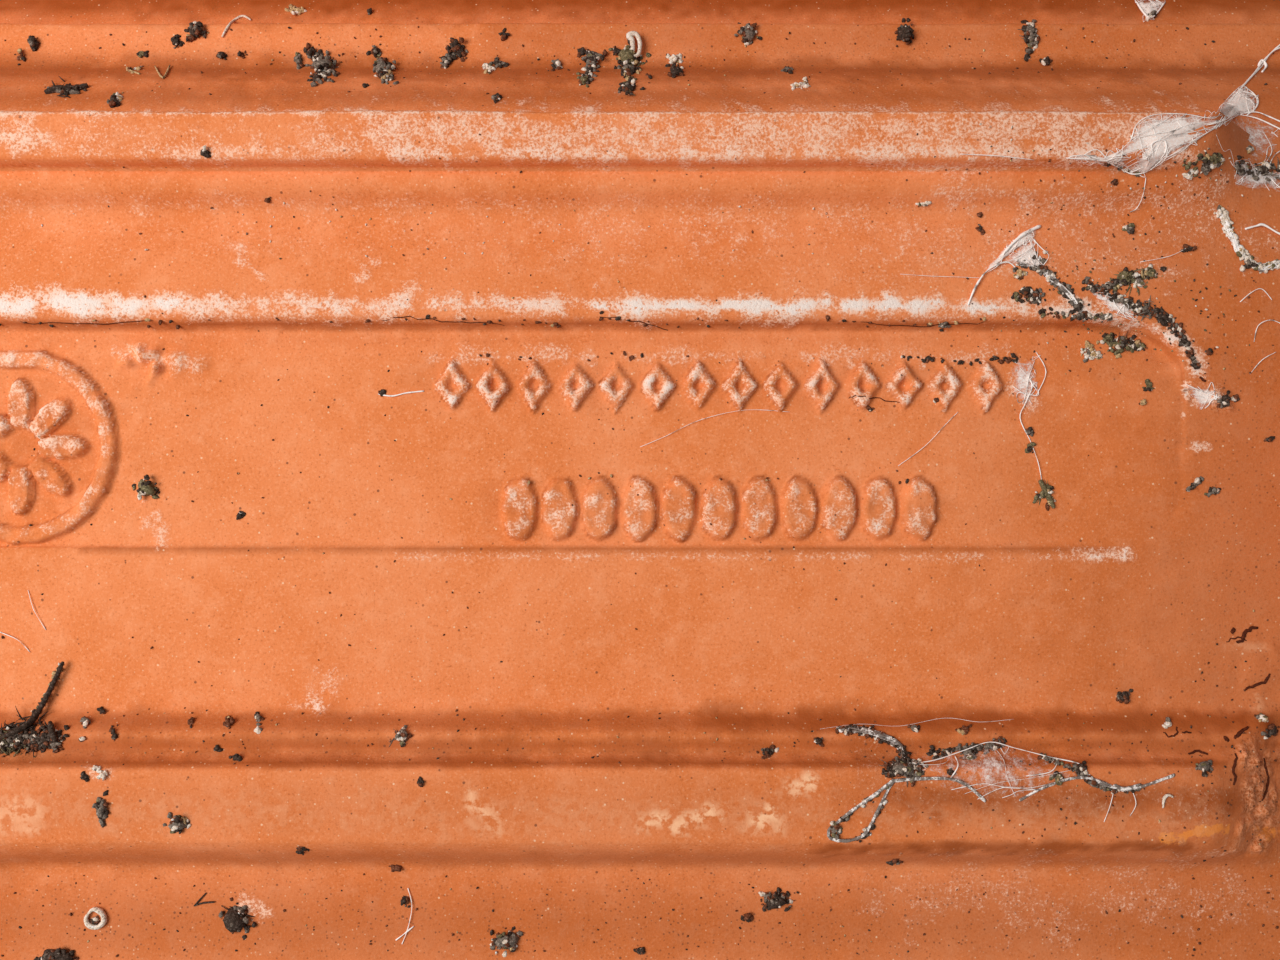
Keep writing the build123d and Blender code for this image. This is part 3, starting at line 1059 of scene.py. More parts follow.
            # Painted shade at the foot of the raised pattern.
            if mask is Mask.SHADE:
                painted = np.maximum(painted, self.ornament.foot(raised, small))
            layer = mesh.attributes.new(mask.value, "FLOAT", "POINT")
            layer.data.foreach_set("value", painted.astype(np.float32))
        torn = cover(TORN_AND_LIT_MARKS, x, y, small) * under
        broken = np.flatnonzero((torn > 0.01) | (raised > 0.1 * MM))
        tiny = np.zeros(len(spots))
        tiny[broken] = self.uneven(spots[broken], self.tiny_size)
        lump = LUMP.cover(x, y, medium + small) * flat * (0.7 + small)
        flap = FLAP.cover(x, y, small) * under * (0.6 + medium)
        torn *= small + 1.3 * tiny + 0.6 * medium - 0.25
        rise = raised * (1.0 + 0.35 * medium + 0.10 * small + 0.20 * tiny) + self.fade_out(spots)
        rise += self.lump_rise * lump + self.flap_rise * flap + self.torn_rise * torn
        shift = np.dot(self.uneven_rises, (coarse, medium, small))
        spots += ways * shift[:, None]
        spots[:, 2] += rise
        mesh.vertices.foreach_set("co", spots.ravel())

    def unseen(self, x: np.ndarray, y: np.ndarray) -> np.ndarray:
        """Whether each pixel place lies well outside the picture."""
        beside = (x < self.seen_x[0]) | (x > self.seen_x[1])
        return beside | (y < self.seen_y[0]) | (y > self.seen_y[1])

    @staticmethod
    def read(mesh: bpy.types.Mesh, name: str) -> np.ndarray:
        """A vector of each vertex."""
        values = np.empty(len(mesh.vertices) * 3)
        mesh.vertices.foreach_get(name, values)
        return values.reshape(-1, 3)

    def fade_out(self, spots: np.ndarray) -> np.ndarray:
        """Finds how far the panel's floor rises where it runs out towards the head.

        Args:
            spots: A row for each place: along, across and out.

        Returns:
            The rise at each place in metres.
        """
        around = self.low_surface - spots[:, 1] ** 2 / (2 * self.shallow_radius)
        low, high = self.panel_end
        along = soft_step((spots[:, 0] - low) / (high - low))
        across = 1.0 - soft_step((spots[:, 1] - self.panel_top[0]) / (self.panel_top[1] - self.panel_top[0]))
        near = (spots[:, 0] < high + self.fade_past) & (spots[:, 2] > self.low_surface - self.fade_depth)
        return np.maximum(around - self.fade_gap - spots[:, 2], 0.0) * along * across * near

    @staticmethod
    def uneven(spots: np.ndarray, size: float) -> np.ndarray:
        """Smooth noise about 0 at each place, of a size in metres."""
        return np.array([noise.noise(spot) for spot in (spots / size).tolist()])


@dataclass
class Ground:
    """The tile's surface as the camera meets it."""

    view: CloseView
    tile: bpy.types.Object
    tree: BVHTree = field(init=False)

    def __post_init__(self) -> None:
        bm = bmesh.new()
        bm.from_mesh(self.tile.data)
        self.tree = BVHTree.FromBMesh(bm)
        bm.free()

    def at(self, x: float, y: float, lift: float = 0.0) -> Vector:
        """The place on the tile that a pixel shows.

        Args:
            x: Pixels from the left.
            y: Pixels from the top.
            lift: How far the place is raised towards the camera, in metres.

        Returns:
            The place in the row frame.
        """
        eye = self.view.eye()
        way = (self.view.places.world(*self.view.rib_plane(x, y), 0.0) - eye).normalized()
        place = self.tree.ray_cast(eye, way)[0]
        if place is None:
            place = eye + way * self.view.distance
        return place - way * lift

    def size(self, pixels: float, place: Vector) -> float:
        """The length that some pixels show at a place."""
        away = (place - self.view.eye()).length
        return pixels / self.view.px_per_metre * away / self.view.distance


UP = Vector((0.0, 0.0, 1.0))


class Tone(Enum):
    """The colours of the loose dirt."""

    DARK = (0.050, 0.030, 0.020)
    BROWN = (0.145, 0.044, 0.017)
    OLIVE = (0.16, 0.125, 0.060)
    STRAW = (0.50, 0.31, 0.15)
    PALE = (0.82, 0.66, 0.52)
    GREY = (0.17, 0.13, 0.10)
    RUSSET = (0.085, 0.017, 0.005)


DARK, BROWN, OLIVE, STRAW, PALE, GREY, RUSSET = Tone
BLENDS = {
    DARK: (DARK,) * 9 + (BROWN,) * 4 + (GREY,) * 2 + (PALE,),
    BROWN: (BROWN,) * 6 + (DARK,) * 3 + (STRAW,),
    OLIVE: (OLIVE,) * 5 + (DARK,) * 3 + (STRAW, PALE),
    STRAW: (STRAW,) * 7 + (PALE,) * 2 + (BROWN,),
    PALE: (PALE,) * 7 + (GREY, STRAW, OLIVE),
    GREY: (GREY,) * 5 + (DARK,) * 4 + (BROWN,) * 2 + (PALE,) * 2 + (OLIVE,),
    RUSSET: (RUSSET,),
}


class Seed(IntEnum):
    """Where the random draws of each kind of detail start."""

    TUFTS = 100
    CRUMBS = 300
    FIBRES = 500
    ROPES = 700
    TRAILS = 900

    def draws(self, number: int) -> np.random.Generator:
        """The draws for one detail of the kind, by its number."""
        return np.random.default_rng(self.value + number)


def add_piece(name: str, bm: BMesh, material: bpy.types.Material) -> bpy.types.Object:
    """Makes an object of a mesh that is already in its place.

    Args:
        name: The object's name.
        bm: The mesh, which is freed.
        material: Its material.

    Returns:
        The object.
    """
    for face in bm.faces:
        face.smooth = True
    mesh = bpy.data.meshes.new(name)
    bm.to_mesh(mesh)
    bm.free()
    mesh.materials.append(material)
    piece = bpy.data.objects.new(name, mesh)
    bpy.context.scene.collection.objects.link(piece)
    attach(piece, BODY)
    log.info("%s: %d faces", name, len(mesh.polygons))
    return piece


def merge(bm: BMesh, part: BMesh) -> None:
    """Adds a part's mesh to a larger one.

    Args:
        bm: The larger mesh.
        part: The part, which is freed.
    """
    mesh = bpy.data.meshes.new("part")
    part.to_mesh(mesh)
    part.free()
    bm.from_mesh(mesh)
    bpy.data.meshes.remove(mesh)


def add_tube(bm: BMesh, line: Sequence[Vector], radii: Sequence[float], sides: int = 5) -> None:
    """Adds a closed tube.

    Args:
        bm: The mesh that it is added to.
        line: The places that it runs through.
        radii: Its radius at each of them.
        sides: How many sides it has.
    """
    frames = []
    for number, (place, radius) in enumerate(zip(line, radii)):
        way = line[min(number + 1, len(line) - 1)] - line[max(number - 1, 0)]
        turn = way.to_track_quat("Z", "Y").to_matrix().to_4x4()
        frames.append(Matrix.Translation(place) @ turn @ Matrix.Scale(radius, 4))
    tube = bmesh.new()
    bmesh.ops.create_circle(tube, cap_ends=True, segments=sides, radius=1.0, matrix=frames[0])
    edges = tube.edges[:]
    for before, after in zip(frames, frames[1:]):
        grown = bmesh.ops.extrude_edge_only(tube, edges=edges)["geom"]
        verts = {item for item in grown if isinstance(item, BMVert)}
        edges = [item for item in grown
                 if isinstance(item, BMEdge) and verts.issuperset(item.verts)]
        bmesh.ops.transform(tube, matrix=after @ before.inverted(), verts=list(verts))
    bmesh.ops.edgenet_fill(tube, edges=edges)
    merge(bm, tube)


@dataclass(frozen=True)
class Crumb:
    """A loose grain at a pixel place; its length, width and turn are as the picture shows them."""

    x: float
    y: float
    length: float
    width: float
    tone: Tone = DARK
    turn: float = 0.0


@dataclass(frozen=True)
class Bit:
    """A stalk, root or curl along a line of pixels."""

    line: tuple[tuple[float, float], ...]
    thick: float
    tone: Tone = BROWN
    lift: float = 1.0


@dataclass(frozen=True)
class Tuft:
    """A clump of moss or fibres around a pixel place."""

    x: float
    y: float
    reach: float
    strands: int
    tone: Tone = OLIVE


CRUMBS = table(
    Crumb,
    (35, 45, 16, 9, DARK, 70), (22, 58, 8, 6, BROWN), (198, 32, 16, 13, DARK), (190, 39, 9, 7, BROWN, 30),
    (177, 43, 10, 8, DARK), (143, 54, 8, 6, OLIVE), (222, 55, 9, 7, DARK), (241, 54, 7, 6, BROWN),
    (115, 103, 13, 8, DARK, 20), (118, 97, 8, 5, PALE, 20), (130, 70, 9, 4, STRAW, 40),
    (138, 69, 8, 4, STRAW, -20), (312, 53, 13, 10, DARK), (324, 68, 25, 22, GREY, 30),
    (299, 62, 14, 8, GREY, 80), (317, 80, 10, 8, DARK), (376, 52, 10, 9, DARK),
    (383, 71, 24, 17, GREY, 75), (386, 77, 13, 9, STRAW, 30), (457, 49, 21, 12, DARK, 50),
    (446, 63, 14, 8, GREY, 80), (488, 68, 14, 8, PALE, 20), (499, 64, 13, 7, GREY, 10),
    (505, 36, 10, 5, DARK, 60), (557, 64, 10, 9, GREY), (582, 52, 11, 8, DARK),
    (592, 62, 19, 14, GREY, 80), (584, 82, 13, 9, OLIVE, 40), (616, 52, 9, 8, DARK),
    (629, 59, 25, 20, OLIVE, 10), (628, 70, 16, 11, GREY), (628, 90, 19, 10, DARK),
    (650, 77, 5, 5, BROWN), (674, 59, 11, 8, PALE), (676, 73, 17, 9, DARK, 10), (498, 98, 12, 7, DARK),
    (297, 11, 18, 7, STRAW, 10), (370, 13, 5, 5, DARK), (365, 86, 5, 4, DARK),
    (748, 35, 17, 15, GREY, 60), (788, 70, 9, 7, GREY), (800, 86, 16, 8, PALE, -20),
    (905, 36, 16, 20, DARK), (1030, 36, 22, 11, GREY, 80), (1045, 62, 9, 7, DARK),
    (205, 153, 11, 7, DARK, 10), (268, 200, 7, 5, BROWN), (148, 489, 21, 16, OLIVE, 30),
    (240, 515, 7, 6, DARK), (404, 736, 16, 11, GREY, 80), (421, 782, 12, 6, DARK, 80),
    (102, 711, 10, 5, DARK, 80), (87, 721, 9, 8, GREY), (82, 739, 7, 5, DARK),
    (114, 734, 16, 4, DARK, 75), (192, 723, 10, 4, BROWN, 90), (229, 723, 12, 8, BROWN, 80),
    (259, 719, 14, 6, GREY, 80), (259, 730, 5, 5, PALE), (217, 749, 7, 5, DARK), (237, 758, 9, 7, DARK),
    (85, 777, 8, 7, DARK), (96, 768, 7, 6, PALE), (104, 775, 10, 6, PALE, 80),
    (102, 808, 22, 9, GREY, 88), (103, 824, 8, 4, GREY, 90), (179, 824, 18, 15, GREY),
    (183, 821, 8, 6, STRAW), (303, 849, 12, 5, DARK, -10), (398, 867, 10, 8, BROWN),
    (95, 920, 8, 7, DARK), (237, 918, 27, 21, DARK, 70), (240, 910, 12, 8, GREY),
    (58, 956, 36, 14, DARK, 5), (406, 900, 10, 6, DARK, 70), (777, 901, 26, 15, DARK, -15),
    (768, 896, 12, 8, GREY), (748, 918, 10, 7, BROWN), (505, 940, 28, 18, GREY, -20),
    (512, 945, 12, 8, OLIVE), (640, 950, 9, 6, DARK), (768, 752, 14, 9, DARK), (818, 741, 9, 9, DARK),
    (1123, 697, 12, 11, DARK), (1203, 766, 13, 11, GREY), (1262, 718, 9, 8, PALE),
    (1168, 724, 7, 6, PALE), (1270, 731, 14, 8, DARK, -30), (1126, 276, 15, 10, OLIVE, 20),
    (1140, 284, 10, 8, PALE), (1110, 285, 20, 9, GREY, -30), (1150, 274, 13, 9, OLIVE),
    (1108, 338, 10, 8, OLIVE), (1122, 342, 15, 9, GREY, 10), (1136, 347, 10, 8, OLIVE),
    (1088, 346, 7, 6, STRAW), (1097, 355, 8, 6, PALE), (1118, 356, 7, 5, STRAW), (944, 326, 9, 8, GREY),
    (1026, 292, 13, 9, DARK, 10), (1034, 298, 12, 9, GREY), (1016, 296, 8, 7, OLIVE),
    (1019, 275, 15, 6, STRAW, -25), (1190, 249, 11, 5, DARK, 10), (1163, 269, 7, 5, DARK),
    (1130, 228, 11, 8, GREY), (922, 204, 13, 4, PALE), (979, 215, 5, 4, BROWN), (980, 229, 5, 6, DARK),
    (1114, 182, 5, 6, BROWN), (1186, 176, 8, 6, PALE), (1205, 170, 10, 7, GREY),
    (1220, 160, 8, 6, PALE, 30), (1240, 172, 9, 7, DARK), (1262, 172, 10, 8, GREY),
    (1266, 164, 7, 5, PALE), (1248, 150, 7, 6, PALE), (1148, 388, 7, 8, OLIVE), (1143, 403, 6, 5, STRAW),
    (1209, 352, 8, 5, DARK), (1236, 399, 8, 5, DARK), (1224, 401, 9, 14, DARK),
    (1195, 484, 16, 7, GREY, -40), (1212, 492, 14, 5, GREY, -30), (1268, 440, 6, 5, DARK),
    (902, 769, 30, 14, GREY), (890, 774, 14, 9, DARK), (931, 752, 6, 7, DARK),
    (968, 753, 14, 10, GREY, 10), (976, 746, 8, 7, DARK), (996, 743, 10, 8, DARK),
    (1058, 777, 9, 9, OLIVE), (1080, 768, 12, 9, DARK, -40), (950, 772, 7, 8, DARK),
    (835, 829, 9, 10, GREY), (866, 832, 7, 6, GREY), (914, 728, 9, 8, GREY),
    (964, 729, 14, 5, BROWN, -10), (1150, 16, 9, 7, DARK), (895, 861, 14, 5, DARK),
    (382, 393, 9, 5, DARK), (1045, 492, 20, 9, OLIVE, -40), (1050, 502, 9, 7, STRAW, -40),
    (1028, 432, 8, 6, GREY), (1030, 448, 10, 7, OLIVE, 60), (936, 400, 7, 5, DARK),
    (870, 410, 6, 5, DARK),
)

BITS = table(
    Bit,
    (((45, 93), (58, 90), (72, 90), (88, 86)), 7.0, DARK), (((48, 88), (62, 92), (80, 93)), 4.0, GREY),
    (((155, 66), (163, 78), (170, 65)), 1.8, STRAW, 2.0), (((128, 70), (140, 74)), 2.0, STRAW),
    (((222, 37), (230, 24), (242, 16), (251, 20)), 2.2, PALE, 1.0),
    (((624, 57), (626, 48), (632, 52), (632, 40), (628, 36), (636, 34), (640, 44), (638, 55),
      (630, 56)), 5.0, PALE, 5.0),
    (((0, 738), (14, 732), (28, 724), (38, 712), (50, 690), (63, 662)), 5.0, DARK, 4.0),
    (((1084, 282), (1098, 288), (1112, 296)), 2.4, DARK, 1.0),
    (((50, 722), (52, 732), (56, 742)), 5.0, DARK, 3.0), (((194, 906), (206, 893)), 1.6, DARK, 0.6),
    (((194, 906), (203, 903), (215, 902)), 1.8, DARK, 0.6),
    (((1163, 808), (1164, 799), (1168, 795), (1173, 797)), 2.6, PALE),
    (((1163, 732), (1170, 738), (1177, 733), (1176, 727)), 1.5, RUSSET, 0.0),
    (((1232, 630), (1234, 633)), 4.0, RUSSET, 0.0),
    (((1236, 641), (1241, 641), (1244, 634), (1250, 629), (1258, 627)), 3.4, RUSSET, 0.0),
    (((1226, 642), (1236, 638), (1246, 640)), 1.4, RUSSET, 0.0),
    (((1246, 690), (1254, 685), (1264, 682), (1270, 674)), 2.6, RUSSET, 0.0),
    (((382, 320), (410, 317), (440, 321), (470, 322), (505, 324)), 1.2, RUSSET, 0.0),
    (((600, 316), (640, 322), (668, 330)), 1.1, RUSSET, 0.0),
    (((20, 322), (90, 324), (150, 321)), 1.0, RUSSET, 0.0),
    (((860, 322), (900, 326), (940, 325), (985, 322)), 1.1, RUSSET, 0.0),
    (((1182, 731), (1191, 733)), 1.6, RUSSET, 0.0), (((1225, 736), (1227, 742)), 4.0, RUSSET, 0.0),
    (((1234, 738), (1240, 733), (1247, 728)), 3.0, RUSSET, 0.0),
    (((1188, 754), (1198, 752), (1208, 755)), 2.2, RUSSET, 0.0),
    (((1236, 754), (1233, 768), (1235, 784)), 2.6, RUSSET, 0.0),
    (((1264, 760), (1268, 782), (1262, 800)), 2.0, RUSSET, 0.0),
    (((1200, 378), (1206, 380)), 2.2, RUSSET, 0.0),
    (((88, 914), (94, 909), (102, 913), (104, 921), (98, 927), (89, 925), (86, 919),
      (88, 914)), 4.6, PALE, 1.5), (((1040, 480), (1046, 492), (1054, 508)), 5.0, OLIVE, 1.0),
    (((848, 398), (860, 396), (880, 399), (900, 403)), 1.2, RUSSET, 0.0),
    (((1280, 262), (1290, 266)), 4.0, GREY, 1.0),
)

TUFTS = table(
    Tuft,
    (26, 735, 30, 90, DARK), (12, 745, 20, 40, OLIVE), (322, 68, 12, 16, GREY), (629, 62, 13, 18, OLIVE),
    (1030, 36, 9, 14, GREY), (1134, 280, 15, 22, OLIVE), (1122, 343, 13, 16, BROWN),
    (68, 91, 16, 14, DARK), (1045, 492, 8, 12, OLIVE), (902, 768, 15, 18, GREY),
    (1140, 308, 14, 18, GREY), (237, 918, 12, 16, DARK), (1266, 172, 14, 18, GREY),
    (400, 738, 7, 8, GREY), (505, 940, 12, 12, OLIVE),
)


@dataclass(frozen=True)
class Trail:
    """Grains strewn along a line of pixels, in the blend of one tone."""

    line: tuple[tuple[float, float], ...]
    width: float
    count: int
    tone: Tone = DARK


TRAILS = table(
    Trail,
    (((1042, 270), (1056, 282), (1070, 296), (1080, 310)), 9, 110, GREY),
    (((1018, 262), (1034, 267), (1046, 272)), 6, 34, GREY),
    (((1014, 270), (1030, 256), (1042, 262)), 9, 30, GREY),
    (((1084, 284), (1096, 288), (1112, 296), (1126, 302), (1140, 310)), 9, 100, GREY),
    (((1108, 290), (1118, 281), (1134, 278), (1152, 272)), 8, 80, OLIVE),
    (((1138, 309), (1156, 313), (1168, 322), (1178, 334)), 9, 130, DARK),
    (((1176, 328), (1184, 342), (1190, 352), (1197, 368)), 4, 70, DARK),
    (((1024, 294), (1042, 299)), 10, 50, GREY), (((1106, 344), (1122, 342), (1140, 347)), 11, 90, OLIVE),
    (((1082, 352), (1098, 357)), 8, 34, PALE), (((1040, 312), (1084, 318), (1112, 316)), 6, 60, GREY),
    (((838, 730), (856, 731), (872, 733), (890, 741), (902, 752), (908, 764)), 7, 190, DARK),
    (((884, 771), (900, 764), (918, 768), (908, 777)), 11, 130, GREY),
    (((935, 755), (950, 752), (968, 747), (985, 748), (1002, 742)), 7, 90, GREY),
    (((1040, 756), (1060, 764), (1080, 772), (1088, 779)), 4, 60, GREY),
    (((1088, 782), (1104, 788), (1124, 790), (1140, 786)), 4, 50, GREY),
    (((893, 781), (860, 806), (830, 829)), 3, 30, GREY),
    (((845, 841), (866, 835), (884, 800)), 3, 24, GREY),
    (((0, 741), (20, 736), (40, 740), (56, 742)), 20, 330, DARK),
    (((35, 716), (50, 690), (63, 664)), 4, 46, OLIVE),
    (((1219, 211), (1226, 222), (1231, 236), (1240, 252), (1250, 262)), 6, 170, PALE),
    (((1250, 262), (1262, 268), (1280, 264), (1300, 266)), 6, 120, PALE),
    (((1246, 262), (1258, 268)), 8, 30, GREY),
    (((1236, 166), (1256, 172), (1270, 168), (1290, 176)), 11, 90, GREY),
    (((1180, 166), (1200, 160), (1218, 158)), 7, 34, OLIVE), (((320, 60), (324, 78)), 14, 80, GREY),
    (((590, 54), (592, 70), (582, 84)), 9, 90, GREY), (((629, 62), (628, 92)), 11, 80, OLIVE),
    (((1030, 26), (1034, 40), (1026, 58)), 6, 70, GREY), (((380, 60), (386, 80)), 9, 40, GREY),
    (((455, 46), (446, 66)), 7, 44, DARK), (((60, 92), (84, 88)), 5, 40, DARK),
    (((1186, 176), (1220, 160)), 8, 26, PALE), (((1105, 163), (1140, 176)), 3, 24, GREY),
    (((385, 319), (520, 322), (560, 326)), 6, 16, BROWN),
    (((600, 316), (665, 326), (730, 324)), 7, 12, BROWN),
    (((820, 319), (910, 324), (1010, 318)), 6, 16, BROWN), (((0, 322), (380, 322)), 8, 14, BROWN),
    (((425, 358), (700, 358)), 9, 12, BROWN), (((900, 357), (960, 362), (1018, 359)), 5, 34, DARK),
    (((500, 476), (940, 478)), 10, 10, BROWN), (((0, 60), (1280, 60)), 70, 150, BROWN),
    (((980, 260), (1280, 260)), 230, 200, BROWN), (((0, 735), (1280, 740)), 60, 110, BROWN),
    (((0, 410), (960, 410)), 560, 170, BROWN), (((0, 915), (1280, 915)), 84, 170, BROWN),
    (((860, 790), (1280, 790)), 110, 90, BROWN), (((1060, 305), (1210, 320)), 90, 110, OLIVE),
    (((1220, 640), (1250, 850)), 90, 50, BROWN), (((0, 230), (960, 230)), 60, 50, PALE),
    (((960, 150), (1280, 170)), 60, 50, PALE),
)


@dataclass
class Dirt:
    """Crumbs, stalks and tufts of moss that lie on the underside."""

    ground: Ground
    grain: Grain = Grain(0.35, 4.0, 0.65, 5.0)
    lump_share: float = 0.72
    lump_lift: float = 0.25
    crumb_spread: float = 0.27
    crumb_grain_area: float = 6.0
    crumb_grains: tuple[int, int] = (4, 60)
    crumb_grain_long: float = 1.4
    crumb_heap: float = 9.0
    crumb_draws: tuple = ((0.8, 2.2), (0.0, 0.9), (0.0, math.tau))
    trail_draws: tuple = ((0.45, 1.0), (0.0, 1.0), (0.0, math.tau))
    wide_trail: float = 30.0
    trail_spread: float = 0.3
    narrow_grain: float = 2.0
    trail_grain_long: float = 1.5
    round_grain: float = 0.25 * MM
    crack_wander: float = 2.5
    strand_width: float = 1.1
    strand_length: tuple[float, float] = (6.0, 15.0)
    strand_tapers: tuple[float, ...] = (1.0, 1.0, 0.7, 0.3)
    heaps: dict[Tone, BMesh] = field(default_factory=dict)

    def build(self) -> None:
        """Adds a piece for each colour of dirt."""
        self.heaps = {tone: bmesh.new() for tone in Tone}
        for number, crumb in enumerate(CRUMBS):
            self.add_crumb(crumb, number)
        for number, trail in enumerate(TRAILS):
            self.add_trail(trail, number)
        for bit in BITS:
            self.add_bit(self.heaps[bit.tone], bit)
        for number, tuft in enumerate(TUFTS):
            self.add_tuft(self.heaps[tuft.tone], tuft, number)
        for tone, heap in self.heaps.items():
            add_piece(f"dirt_{tone.name.lower()}", heap, self.material(tone))

    def material(self, tone: Tone) -> bpy.types.Material:
        """Makes dry matt dirt of one colour, with paler and darker grains.

        Args:
            tone: The colour.

        Returns:
            The material.
        """
        look = Look(f"dirt_{tone.name.lower()}")
        grain = look.grain(self.grain)
        light = tuple(min(0.9, part * 2.0 + 0.05 * (tone is not RUSSET)) for part in tone.value)
        dark = tuple(part * 0.45 for part in tone.value)
        colour = look.mix(grain.ramp(0.50, 0.68), tone.value, light)
        colour = look.mix(grain.ramp(0.46, 0.36), colour, dark)
        return look.finish(colour, 0.85, grain, 0.25 * MM)

    def add_crumb(self, crumb: Crumb, number: int) -> None:
        """Adds one crumb: a rough lump with smaller grains of its blend clinging to it.

        Args:
            crumb: The crumb.
            number: Its number, which its shape is drawn from.
        """
        chance = Seed.CRUMBS.draws(number)
        turn = math.radians(crumb.turn)
        place = self.ground.at(crumb.x, crumb.y)
        lump = self.ground.size(crumb.width, place) / 2
        middle, long = place + UP * lump * self.lump_lift, crumb.length / crumb.width
        self.add_grains(crumb.tone, [(middle, lump * self.lump_share, long, -turn)], number)
        grains = {tone: [] for tone in Tone}
        for _ in range(int(np.clip(crumb.length * crumb.width / self.crumb_grain_area, *self.crumb_grains))):
            along, across = chance.normal(0, self.crumb_spread, 2) * (crumb.length, crumb.width)
            size, height, spin = (chance.uniform(*reach) for reach in self.crumb_draws)
            x = crumb.x + along * math.cos(turn) - across * math.sin(turn)
            y = crumb.y + along * math.sin(turn) + across * math.cos(turn)
            heap = height * math.exp(-(along / crumb.length) ** 2 * self.crumb_heap)
            spot = self.ground.at(x, y) + UP * lump * heap
            grain = (spot, self.ground.size(size, spot), self.crumb_grain_long, spin)
            grains[self.draw(crumb.tone, chance)].append(grain)
        for tone, group in grains.items():
            self.add_grains(tone, group, number)

    def add_trail(self, trail: Trail, number: int) -> None:
        """Strews small grains along a line, or evenly over a wide band.

        Args:
            trail: The trail.
            number: Its number, which its grains are drawn from.
        """
        chance = Seed.TRAILS.draws(number)
        spots = np.array(smooth_line(trail.line, 6))
        grains = {tone: [] for tone in Tone}
        wide = trail.width >= self.wide_trail
        for _ in range(trail.count):
            start = chance.integers(len(spots) - 1)
            middle = spots[start] + (spots[start + 1] - spots[start]) * chance.uniform()
            if wide:
                aside = chance.uniform(-0.5, 0.5, 2) * trail.width
            else:
                aside = chance.normal(0, trail.width * self.trail_spread, 2)
            size, height, spin = (chance.uniform(*reach) for reach in self.trail_draws)
            spot = self.ground.at(*(middle + aside))
            size = self.ground.size(size if wide else size * self.narrow_grain, spot)
            grain = (spot + UP * size * height, size, self.trail_grain_long, spin)
            grains[self.draw(trail.tone, chance)].append(grain)
        for tone, group in grains.items():
            self.add_grains(tone, group, number)

    @staticmethod
    def draw(tone: Tone, chance: np.random.Generator) -> Tone:
        """One tone out of a blend."""
        blend = BLENDS[tone]
        return blend[chance.integers(len(blend))]

    def add_grains(self, tone: Tone, grains: Sequence[tuple[Vector, float, float, float]], seed: int) -> None:
        """Adds rough grains of one tone.

        Args:
            tone: Their tone.
            grains: The place, radius, length over width and turn of each.
            seed: What their shapes are drawn from.
        """
        group = bmesh.new()
        for place, radius, long, turn in grains:
            shape = Matrix.Diagonal((radius * long, radius, radius * 0.8, 1.0))
            whole = Matrix.Translation(place) @ Matrix.Rotation(turn, 4, "Z") @ shape
            fine = 2 if radius > self.round_grain else 1
            made = bmesh.ops.create_icosphere(group, subdivisions=fine, radius=1.0)["verts"]
            drift = place * 1000 + Vector((seed, 0, 0))
            for vert in made:
                broad, small = noise.noise(vert.co * 1.2 + drift), noise.noise(vert.co * 3.5 + drift)
                vert.co *= 1.0 + 0.55 * broad + 0.30 * small
            bmesh.ops.transform(group, matrix=whole, verts=made)
        merge(self.heaps[tone], group)

    def add_bit(self, bm: BMesh, bit: Bit) -> None:
        """Adds one stalk or curl; one with no lift is a crack, ragged and let into the clay.

        Args:
            bm: The mesh that it is added to.
            bit: The stalk, curl or crack.
        """
        spots = smooth_line(bit.line, 4)
        if bit.lift == 0.0:
            spots = [(x + self.crack_wander * noise.noise(Vector((x, y, 0)) * 0.4),
                      y + self.crack_wander * noise.noise(Vector((y, x, 9)) * 0.4)) for x, y in spots]
        line = [self.ground.at(x, y, bit.lift * 0.3 * MM) for x, y in spots]
        thick = self.ground.size(bit.thick, line[0]) / 2
        radii = [thick * (0.35 + 0.65 * math.sin(math.pi * (number + 0.5) / len(line)) ** 0.5)
                 * (1.0 + 0.25 * noise.noise(place * 900)) for number, place in enumerate(line)]
        add_tube(bm, line, radii, 6)

    def add_tuft(self, bm: BMesh, tuft: Tuft, number: int) -> None:
        """Adds short strands that lean out of a clump.

        Args:
            bm: The mesh that they are added to.
            tuft: The clump.
            number: Its number, which its strands are drawn from.
        """
        chance = Seed.TUFTS.draws(number)
        for _ in range(tuft.strands):
            angle = chance.uniform(0, math.tau)
            away = tuft.reach * chance.uniform(0.0, 0.8) ** 0.7
            start = self.ground.at(tuft.x + away * math.cos(angle), tuft.y + away * 0.7 * math.sin(angle))
            long = self.ground.size(chance.uniform(*self.strand_length), start)
            lean = Vector((chance.normal(), chance.normal(), abs(chance.normal()) * 0.7)).normalized()
            shares = np.linspace(0, 1, len(self.strand_tapers))
            line = [start + lean * long * share - UP * 0.25 * long * share ** 2 for share in shares]
            thick = self.ground.size(self.strand_width * chance.uniform(0.7, 1.6), start) / 2
            add_tube(bm, line, [thick * taper for taper in self.strand_tapers], 4)


def smooth_line(points: Sequence[tuple[float, float]], steps: int) -> list[tuple[float, float]]:
    """A flowing line through points.

    Args:
        points: The points; two of them are joined by a straight line.
        steps: How many steps lie between each two.

    Returns:
        The points of the line.
    """
    if len(points) < 3:
        (from_x, from_y), (to_x, to_y) = points
        shares = [number / steps for number in range(steps + 1)]
        return [(from_x + (to_x - from_x) * share, from_y + (to_y - from_y) * share) for share in shares]
    ends = [points[0], *points, points[-1]]
    line = []
    for before, start, end, after in zip(ends, ends[1:], ends[2:], ends[3:]):
        for number in range(steps):
            share = number / steps
            line.append(tuple(
                0.5 * (2 * b + (c - a) * share + (2 * a - 5 * b + 4 * c - d) * share ** 2
                       + (3 * b - a - 3 * c + d) * share ** 3)
                for a, b, c, d in zip(before, start, end, after)))
    return [*line, points[-1]]


@dataclass(frozen=True)
class Thread:
    """A cobweb thread along a line of pixels, raised in its middle."""

    line: tuple[tuple[float, float], ...]
    thick: float = 1.0
    lift: float = 1.0


